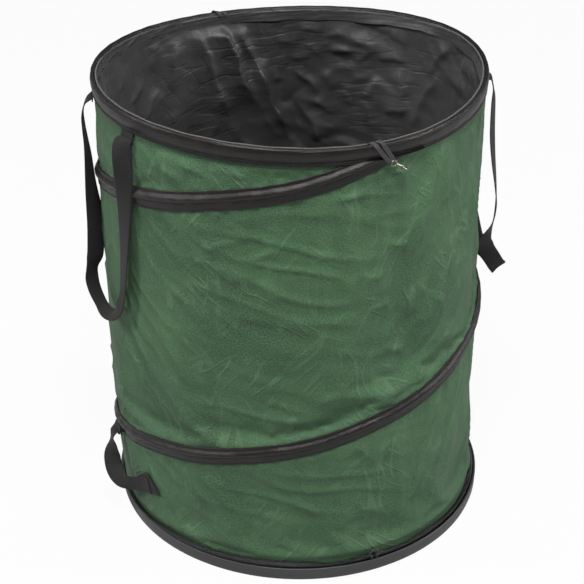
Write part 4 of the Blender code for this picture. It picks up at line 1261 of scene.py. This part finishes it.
def seen_at(column, row, turned=None, distance=None):
    """Angle, distance and height of a picture point, from its angle or else from its distance. Newton's
    method finds the other one and the height."""
    spot = np.array(FIRST_GUESS)
    if turned is None:
        spot[1], unknown = distance, [0, 2]
    else:
        spot[0], unknown = turned, [1, 2]
    nudges = np.array([0.01, 0.0001, 0.0001])
    limits = np.array([4.0, 0.02, 0.02])
    for _ in range(60):
        shown = in_picture(drum_place(*spot))
        slopes = []
        for number in unknown:
            nudged = spot.copy()
            nudged[number] += nudges[number]
            slopes.append((in_picture(drum_place(*nudged)) - shown) / nudges[number])
        step = np.linalg.solve(np.array(slopes).T, np.array([column, row]) - shown)
        spot[unknown] += np.clip(step, -limits[unknown], limits[unknown])
    return round(float(spot[0]), 1), round(float(spot[1]), 4), round(float(spot[2]), 4)


def facing(turned, right, near, up):
    """A width that points right, towards the camera and up, as shares round the drum, outwards and up."""
    width = unit(np.array([right, -near, up], float))
    return float(width @ along_drum(turned)), float(width @ outward(turned)), float(width[2])


def seen_knot(column, row, right, near, up, turned=None, distance=None):
    spot = seen_at(column, row, turned, distance)
    return *spot, *facing(spot[0], right, near, up)


print("rim front shows at", in_picture(drum_place(-90, WALL_RADIUS, BAG_HEIGHT)).round(1))


# %% [markdown]
# ## Carry handles
# Each handle is one length of webbing with both ends sewn under the rim sleeve. It hangs as a long
# loop: flat against the bag where it is sewn, then turning edge-on, because the two strands want to lie
# face to face, and bending over its face at the bottom.

# %% Carry handles
WEBBING = 0.0265
WEBBING_THICKNESS = 0.0017
HANDLE_SEAM = 0.6520
left_knots = (
    (-172.5, 0.2752, HANDLE_SEAM, 1, 0, 0),
    seen_knot(85.5, 101, 0, 1, 0, turned=-172.5),
    seen_knot(82.5, 113, 0.03, 1, 0, turned=-172.5),
    seen_knot(83.7, 127, 0, 1, 0, turned=-172.5),
    seen_knot(85.9, 141, -0.07, 1, 0, turned=-172.3),
    seen_knot(88.0, 157, -0.23, 0.97, 0, turned=-172.0),
    seen_knot(90.8, 186, -0.48, 0.88, 0, turned=-172.0),
    seen_knot(95.2, 218, -0.82, 0.55, 0, turned=-171.5),
    seen_knot(95.8, 246, -0.84, 0.50, 0, turned=-171.0),
    (-170.8, 0.2860, 0.4075, 0.40, 0.92, 0),
    (-170.2, 0.2912, 0.3915, 0.72, 0.66, 0.10),
    (-168.5, 0.2925, 0.3760, 0.50, 0.76, 0.40),
    (-164.0, 0.2900, 0.3660, 0.20, 0.86, 0.48),
    seen_knot(104.0, 306.5, -0.80, 0.50, 0.40, turned=-157.5),
    seen_knot(111.5, 313, -0.65, 0.70, -0.30, turned=-151.5),
    seen_knot(117.5, 310, 0.10, 0.80, -0.60, turned=-147.0),
    seen_knot(121.3, 301, 0.30, 0.95, -0.10, distance=0.2825),
    seen_knot(123.0, 286, 0.34, 0.94, 0, distance=0.2810),
    seen_knot(124.3, 246, 0.50, 0.86, 0, distance=0.2805),
    seen_knot(124.0, 205, 0.76, 0.63, 0, distance=0.2815),
    seen_knot(123.3, 178, 0.95, 0.25, 0, distance=0.2860),
    seen_knot(122.0, 158, 1, 0.05, 0, distance=0.2865),
    seen_knot(121.8, 143, 0.90, 0.45, 0, distance=0.2835),
    (-139.5, 0.2752, HANDLE_SEAM, 1, 0, 0))
right_knots = (
    (40.5, 0.2752, HANDLE_SEAM, -1, 0, 0),
    (39.6, 0.2810, 0.6250, -1, -0.20, 0),
    (36.0, 0.2835, 0.5700, -0.60, -0.80, 0),
    (31.0, 0.2850, 0.5100, -0.20, -1, 0),
    (26.5, 0.2870, 0.4500, 0, -1, 0),
    (22.5, 0.2910, 0.4000, 0, -1, -0.20),
    seen_knot(476.0, 241, -0.70, 0.20, -0.50, turned=19.0),
    seen_knot(483.2, 247.5, -0.62, -0.10, -0.60, turned=14.0),
    seen_knot(490.5, 256.5, -0.62, -0.15, -0.60, turned=10.5),
    seen_knot(496.5, 264.5, -0.62, -0.10, -0.60, turned=7.6),
    seen_knot(498.2, 266.6, -0.62, -0.10, -0.60, turned=6.6),
    seen_knot(496.0, 264.2, -0.62, -0.10, -0.60, turned=5.6),
    seen_knot(490.5, 255.5, -0.70, -0.05, -0.50, turned=4.6),
    seen_knot(485.6, 247.5, -0.85, 0.10, -0.20, turned=4.0),
    seen_knot(484.8, 240.5, -0.80, 0.40, 0.10, turned=4.0),
    seen_knot(488.3, 232, -0.50, 0.80, 0.20, turned=4.5),
    seen_knot(493.3, 220, -0.20, 0.97, 0.10, turned=5.0),
    seen_knot(496.2, 202, -0.08, 1, 0, turned=5.0),
    seen_knot(495.5, 183, -0.16, 1, 0, turned=5.2),
    seen_knot(493.3, 156, -0.28, 0.95, 0, turned=5.5),
    seen_knot(492.4, 131, -0.34, 0.93, 0, turned=6.0),
    seen_knot(493.4, 100, -0.28, 0.95, 0, turned=6.5),
    seen_knot(493.2, 87, -0.05, 1, 0, turned=7.0),
    seen_knot(491.0, 77, -0.03, 1, 0, turned=7.4),
    (7.5, 0.2752, 0.6540, -1, 0, 0))
for side, knots in (("left", left_knots), ("right", right_knots)):
    handle = strap(f"{side}_webbing_handle", knots, WEBBING, WEBBING_THICKNESS, strap_web, 180)
    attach(handle, f"{side}_handle")
    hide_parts(f"{side}_carry_handle")
    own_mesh(handle)
    for number, knot in ((1, min(knots[0], knots[-1])), (2, max(knots[0], knots[-1]))):
        turned = knot[0]
        end_knots = ((turned, 0.2748, 0.6475, 1, 0, 0), (turned, 0.2744, 0.6530, 1, 0, 0),
                     (turned, 0.2733, 0.6580, 1, 0, 0), (turned, 0.2724, 0.6620, 1, 0, 0))
        sewn_end = strap(f"{side}_handle_end_{number}", end_knots, WEBBING, WEBBING_THICKNESS, strap_web, 8)
        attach(sewn_end, "rim")
        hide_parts(f"{side}_handle_sewn_end_{number}")

# %% [markdown]
# ## Tipping handle
# A short strap low on the left is for tipping the bag out. Its upper end is sewn just under the spiral
# sleeve; it swings out from the wall and comes back lower down, where its end lies flat on the cloth.

# %% Tipping handle
TIPPING_WIDTH = 0.0255
TIPPING_END_WIDTH = 0.0245
SEWN_DISTANCE = 0.2752


def sewn_row(low, high, distance):
    """A row of a sewn end, from the picture points of its lower and upper edge."""
    low_angle, _, low_height = seen_at(*low, distance=SEWN_DISTANCE)
    high_angle, _, high_height = seen_at(*high, distance=SEWN_DISTANCE)
    along = math.radians(high_angle - low_angle) * SEWN_DISTANCE / TIPPING_END_WIDTH
    up = (high_height - low_height) / TIPPING_END_WIDTH
    return (low_angle + high_angle) / 2, distance, (low_height + high_height) / 2, along, 0, up


tipping_knots = (
    seen_knot(120.5, 424.5, 0.31, 0.95, 0, distance=0.2755),
    seen_knot(117.0, 427.5, 0.55, 0.80, 0.20, turned=-162.0),
    seen_knot(113.4, 432, 0.30, 0.95, 0.15, turned=-161.6),
    seen_knot(111.9, 438.5, 0.20, 0.98, 0.05, turned=-160.8),
    seen_knot(111.8, 447, 0.70, 0.70, 0, turned=-159.5),
    seen_knot(112.4, 457, 1, 0.10, 0, turned=-158.5),
    seen_knot(114.3, 467, 1, -0.05, 0.05, turned=-157.0),
    seen_knot(118.8, 476, 0.80, -0.10, 0.60, turned=-154.5),
    (-150.9, 0.2895, 0.0744, *facing(-150.9, 0.35, 0.25, 0.85)),
    (-147.3, 0.2815, 0.0790, 0.20, 0, 0.95),
    (-143.8, 0.2770, 0.0862, 0, 0, 1),
    (-140.6, 0.2765, 0.0925, -0.20, 0, 1))
upper_end = ((-162.3, 0.2756, 0.1300, 1, 0, 0.1), (-161.6, 0.2754, 0.1370, 1, 0, 0.1),
             (-161.0, 0.2746, 0.1440, 1, 0, 0.1), (-160.5, 0.2738, 0.1500, 1, 0, 0.1))
lower_end = (sewn_row((138, 490.5), (137, 475.5), 0.2752),
             sewn_row((143, 491.5), (140.5, 474), 0.2750),
             sewn_row((150, 493), (144, 473), 0.2749),
             sewn_row((161, 496.5), (147, 473.5), 0.2749))
tipping = strap("tipping_webbing_handle", tipping_knots, TIPPING_WIDTH, WEBBING_THICKNESS, strap_web, 110)
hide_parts("tipping_handle")
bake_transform(tipping)
for number, knots, squared in ((1, upper_end, True), (2, lower_end, False)):
    sewn_end = strap(f"tipping_end_{number}", knots, TIPPING_END_WIDTH, WEBBING_THICKNESS, strap_web,
                     16, squared)
    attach(sewn_end, "tipping_sewn_ends")
    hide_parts(f"tipping_sewn_end_{number}")

# %% [markdown]
# ## Closures
# Two narrow elastics are sewn inside the rim and run over it, side by side and at a slant, to the eye of
# a small wire hook. When the bag is pressed flat, the hook catches a cord loop at the base. The part
# over the rim doesn't move; the part below swings, and so does the hook.

# %% Closure elastics
STRAND = 0.0062
STRAND_THICKNESS = 0.0012
FRONT_ANGLE = -66.0
BACK_ANGLE = 114.0


def joined(name, objects):
    """Several objects as one mesh."""
    mesh = bpy.data.meshes.new(name)
    shape = bmesh.new()
    for obj in objects:
        shape.from_mesh(obj.data)
    shape.to_mesh(mesh)
    shape.free()
    mesh.materials.append(objects[0].data.materials[0])
    mesh.shade_smooth()
    for obj in objects:
        bpy.data.objects.remove(obj)
    made = bpy.data.objects.new(name, mesh)
    bpy.context.scene.collection.objects.link(made)
    return made


def strands(name, knots, spread):
    """Two narrow elastics that run side by side."""
    pair = []
    for side in (-1, 1):
        moved = []
        for (turned, radius, height, a, b, c), apart in zip(knots, spread):
            shift = side * apart
            degrees = math.degrees(shift / radius)
            moved.append((turned + degrees * a, radius, height + shift * c, a, b, c))
        pair.append(strap(f"{name}_{side + 2}", moved, STRAND, STRAND_THICKNESS, elastic, 40))
    return joined(name, pair)


def closure(label, turned, pressed):
    """pressed is how deep the strands have sunk into the rim."""
    over = ((turned - 0.6, 0.2676, 0.6790, 1, 0, 0.05),
            (turned - 0.6, 0.2676, 0.6842 - pressed, 1, 0, 0.05),
            (turned - 0.3, 0.2700, 0.6868 - pressed, 1, 0, 0.1),
            (turned + 0.1, 0.2740, 0.6873 - pressed, 1, 0, 0.2),
            (turned + 0.5, 0.2776, 0.6862 - pressed, 1, 0, 0.4),
            (turned + 0.9, 0.2796, 0.6828, 0.9, 0, 0.5))
    below = ((turned + 0.9, 0.2796, 0.6828, 0.9, 0, 0.5), (turned + 1.9, 0.2799, 0.6755, 0.8, 0, 0.6),
             (turned + 3.3, 0.2797, 0.6660, 0.8, 0, 0.6), (turned + 4.4, 0.2788, 0.6590, 0.8, 0, 0.6))
    tab = strands(f"{label}_elastic_over_rim", over, (0.0046, 0.0046, 0.0045, 0.0044, 0.0043, 0.0042))
    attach(tab, "rim")
    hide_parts(f"{label}_closure_tab")
    tape = strands(f"{label}_elastic", below, (0.0042, 0.0040, 0.0034, 0.0026))
    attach(tape, f"{label}_tape")
    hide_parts(f"{label}_closure_tape")
    return drum_place(turned + 4.9, 0.2792, 0.6565)


def hook_shape(label, turned, eye):
    """A wire eye, a shank and a bend that opens outwards, drawn along the elastic's slant."""
    out, side = outward(np.float64(turned)), along_drum(np.float64(turned))
    slant = math.radians(62)
    ahead = side * math.sin(slant) - np.array([0, 0, 1.0]) * math.cos(slant)
    across = side * math.cos(slant) + np.array([0, 0, 1.0]) * math.sin(slant)
    ring = [eye + 0.0038 * (math.cos(t) * ahead + math.sin(t) * across) + 0.0004 * out
            for t in np.linspace(0, 2 * math.pi, 28, endpoint=False)]
    loop = round_cord(f"{label}_hook_eye", ring, 0.0012, hook_steel, True, 10)
    course = [(0.0034, 0.0004), (0.0070, 0.0003), (0.0110, 0.0003), (0.0145, 0.0006)]
    for t in np.linspace(0, math.pi, 9):
        course.append((0.0145 + 0.0036 * math.sin(t), 0.0006 + 0.0034 * (1 - math.cos(t))))
    course += [(0.0120, 0.0074), (0.0095, 0.0080)]
    line = [eye + ahead * a + out * b for a, b in course]
    shank = round_cord(f"{label}_hook_shank", smooth_course(line, 60), 0.0016, hook_steel, False, 10)
    return joined(f"{label}_hook", [loop, shank])


for label, turned, pressed in (("front", FRONT_ANGLE, 0.0), ("back", BACK_ANGLE, 0.0010)):
    eye = closure(label, turned, pressed)
    hook = hook_shape(label, turned, eye)
    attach(hook, f"{label}_hook")
    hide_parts(f"{label}_closure_hook")
    low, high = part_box(f"{label}_closure_hook")
    print(label, "hook eye at", eye.round(4), "solid hook from", [round(v, 4) for v in (*low, *high)])

# %% [markdown]
# ## Base loops
# Below each hook a small loop of cord stands up from the binding, with both ends sewn in. It is a
# round cord along part of a circle.

# %% Base loops
LOOP_DISTANCE = 0.279
LOOP_FOOT = 0.0232
LOOP_RADIUS = 0.0066


def base_loop(label, turned):
    points = [(-0.0040, LOOP_FOOT)]
    for degrees in range(-140, 141, 14):
        angle = math.radians(degrees)
        points.append((LOOP_RADIUS * math.sin(angle), 0.0328 + LOOP_RADIUS * math.cos(angle)))
    points.append((0.0040, LOOP_FOOT))
    course = smooth_course(points, 90)
    line = [drum_place(turned + math.degrees(s / LOOP_DISTANCE), 0.2793 + 0.0006 * math.sin(h * 900), h)
            for s, h in course]
    return round_cord(f"{label}_cord_loop", line, 0.00135, loop_yarn, False, 10)


for label, turned in (("front", FRONT_ANGLE), ("back", BACK_ANGLE)):
    loop = base_loop(label, turned)
    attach(loop, f"{label}_loop")
    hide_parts(f"{label}_base_loop")
print("closures made")

# %% [markdown]
# ## Stitching
# Rows of machine stitches hold the tapes. Each stitch is a short rounded thread that dips at both ends,
# and a whole row is one mesh. They are small, but from close by they show how the bag is made.

# %% Stitches
def stitch_row(name, line, lift, finish, pitch=0.0042, length=0.0030, radius=0.00032):
    """Short threads along a line; lift is the direction away from the cloth at each point."""
    line, lift = np.asarray(line, float), np.asarray(lift, float)
    steps = np.concatenate([[0], np.cumsum(np.linalg.norm(np.diff(line, axis=0), axis=1))])
    count = int(steps[-1] / pitch)
    angles = np.linspace(0, 2 * np.pi, 5, endpoint=False)
    points, faces = [], []
    for k in range(count):
        start = k * pitch + (pitch - length) / 2
        at = np.linspace(start, start + length, 4)
        centre = np.stack([np.interp(at, steps, line[:, n]) for n in range(3)], -1)
        up = unit(np.stack([np.interp(at, steps, lift[:, n]) for n in range(3)], -1))
        ahead = unit(centre[-1] - centre[0])
        side = np.cross(ahead, up)
        centre = centre + up * (np.array([-0.6, 0.7, 0.7, -0.6]) * radius)[:, None]
        first = len(points)
        for ring in range(4):
            size = radius * (0.6 if ring in (0, 3) else 1.0)
            points.extend(centre[ring] + size * (np.cos(a) * side[ring] + np.sin(a) * up[ring])
                          for a in angles)
        for ring in range(3):
            for n in range(5):
                a, b = first + ring * 5 + n, first + ring * 5 + (n + 1) % 5
                faces.append((a, b, b + 5, a + 5))
        faces.append(tuple(first + n for n in range(4, -1, -1)))
        faces.append(tuple(first + 15 + n for n in range(5)))
    mesh = bpy.data.meshes.new(name)
    mesh.from_pydata([tuple(p) for p in points], [], faces)
    mesh.uv_layers.new(name="metres")
    mesh.shade_smooth()
    mesh.materials.append(finish)
    row = bpy.data.objects.new(name, mesh)
    bpy.context.scene.collection.objects.link(row)
    return row


def seam_round(name, radius, height, finish, body):
    turned = np.arange(0, 360.5, 0.75)
    row = stitch_row(name, drum_place(turned, radius, height), outward(turned), finish)
    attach(row, body)
    return row


seam_round("rim_lower_stitches", 0.2743, RIM_TAPE_EDGE + 0.0016, black_thread, "rim")
seam_round("rim_upper_stitches", 0.2745, 0.6662, black_thread, "rim")
seam_round("base_stitches", 0.2741, 0.0190, black_thread, "base")
inside = np.arange(0, 360.5, 0.75)
facing_line = drum_place(inside, 0.2676, 0.6800)
facing_row = stitch_row("rim_facing_stitches", facing_line, -outward(inside), black_thread)
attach(facing_row, "rim")

seam_turn = np.linspace(SPIRAL_START - 14, SPIRAL_END + 14, 900)
spiral_rows = []
for label, offset in (("upper", 0.0126), ("lower", -0.0126), ("wire", -0.0040)):
    level = spiral_height(seam_turn) + offset
    shown = (level > 0.037) & (level < 0.660)
    turned, level = seam_turn[shown], level[shown]
    line = drum_place(turned, WALL_RADIUS - waist_depth(turned, level) + 0.0013, level)
    row = stitch_row(f"spiral_{label}_stitches", line, outward(turned), black_thread)
    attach(row, "base")
    spiral_rows.append(row)

# %% [markdown]
# ## Pieces with meshes of their own
# When the bag is pressed flat, the rim comes down to the tray and everything between them crumples.
# The wall, the lining, the spiral sleeve, its wire and its stitch rows each get a mesh of their own here;
# the hem strips belong to the rim.

# %% Own meshes
for piece in (wall, inner_cloth, spiral, spiral_wire, *spiral_rows):
    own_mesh(piece)
print("folding pieces:", 4 + len(spiral_rows))
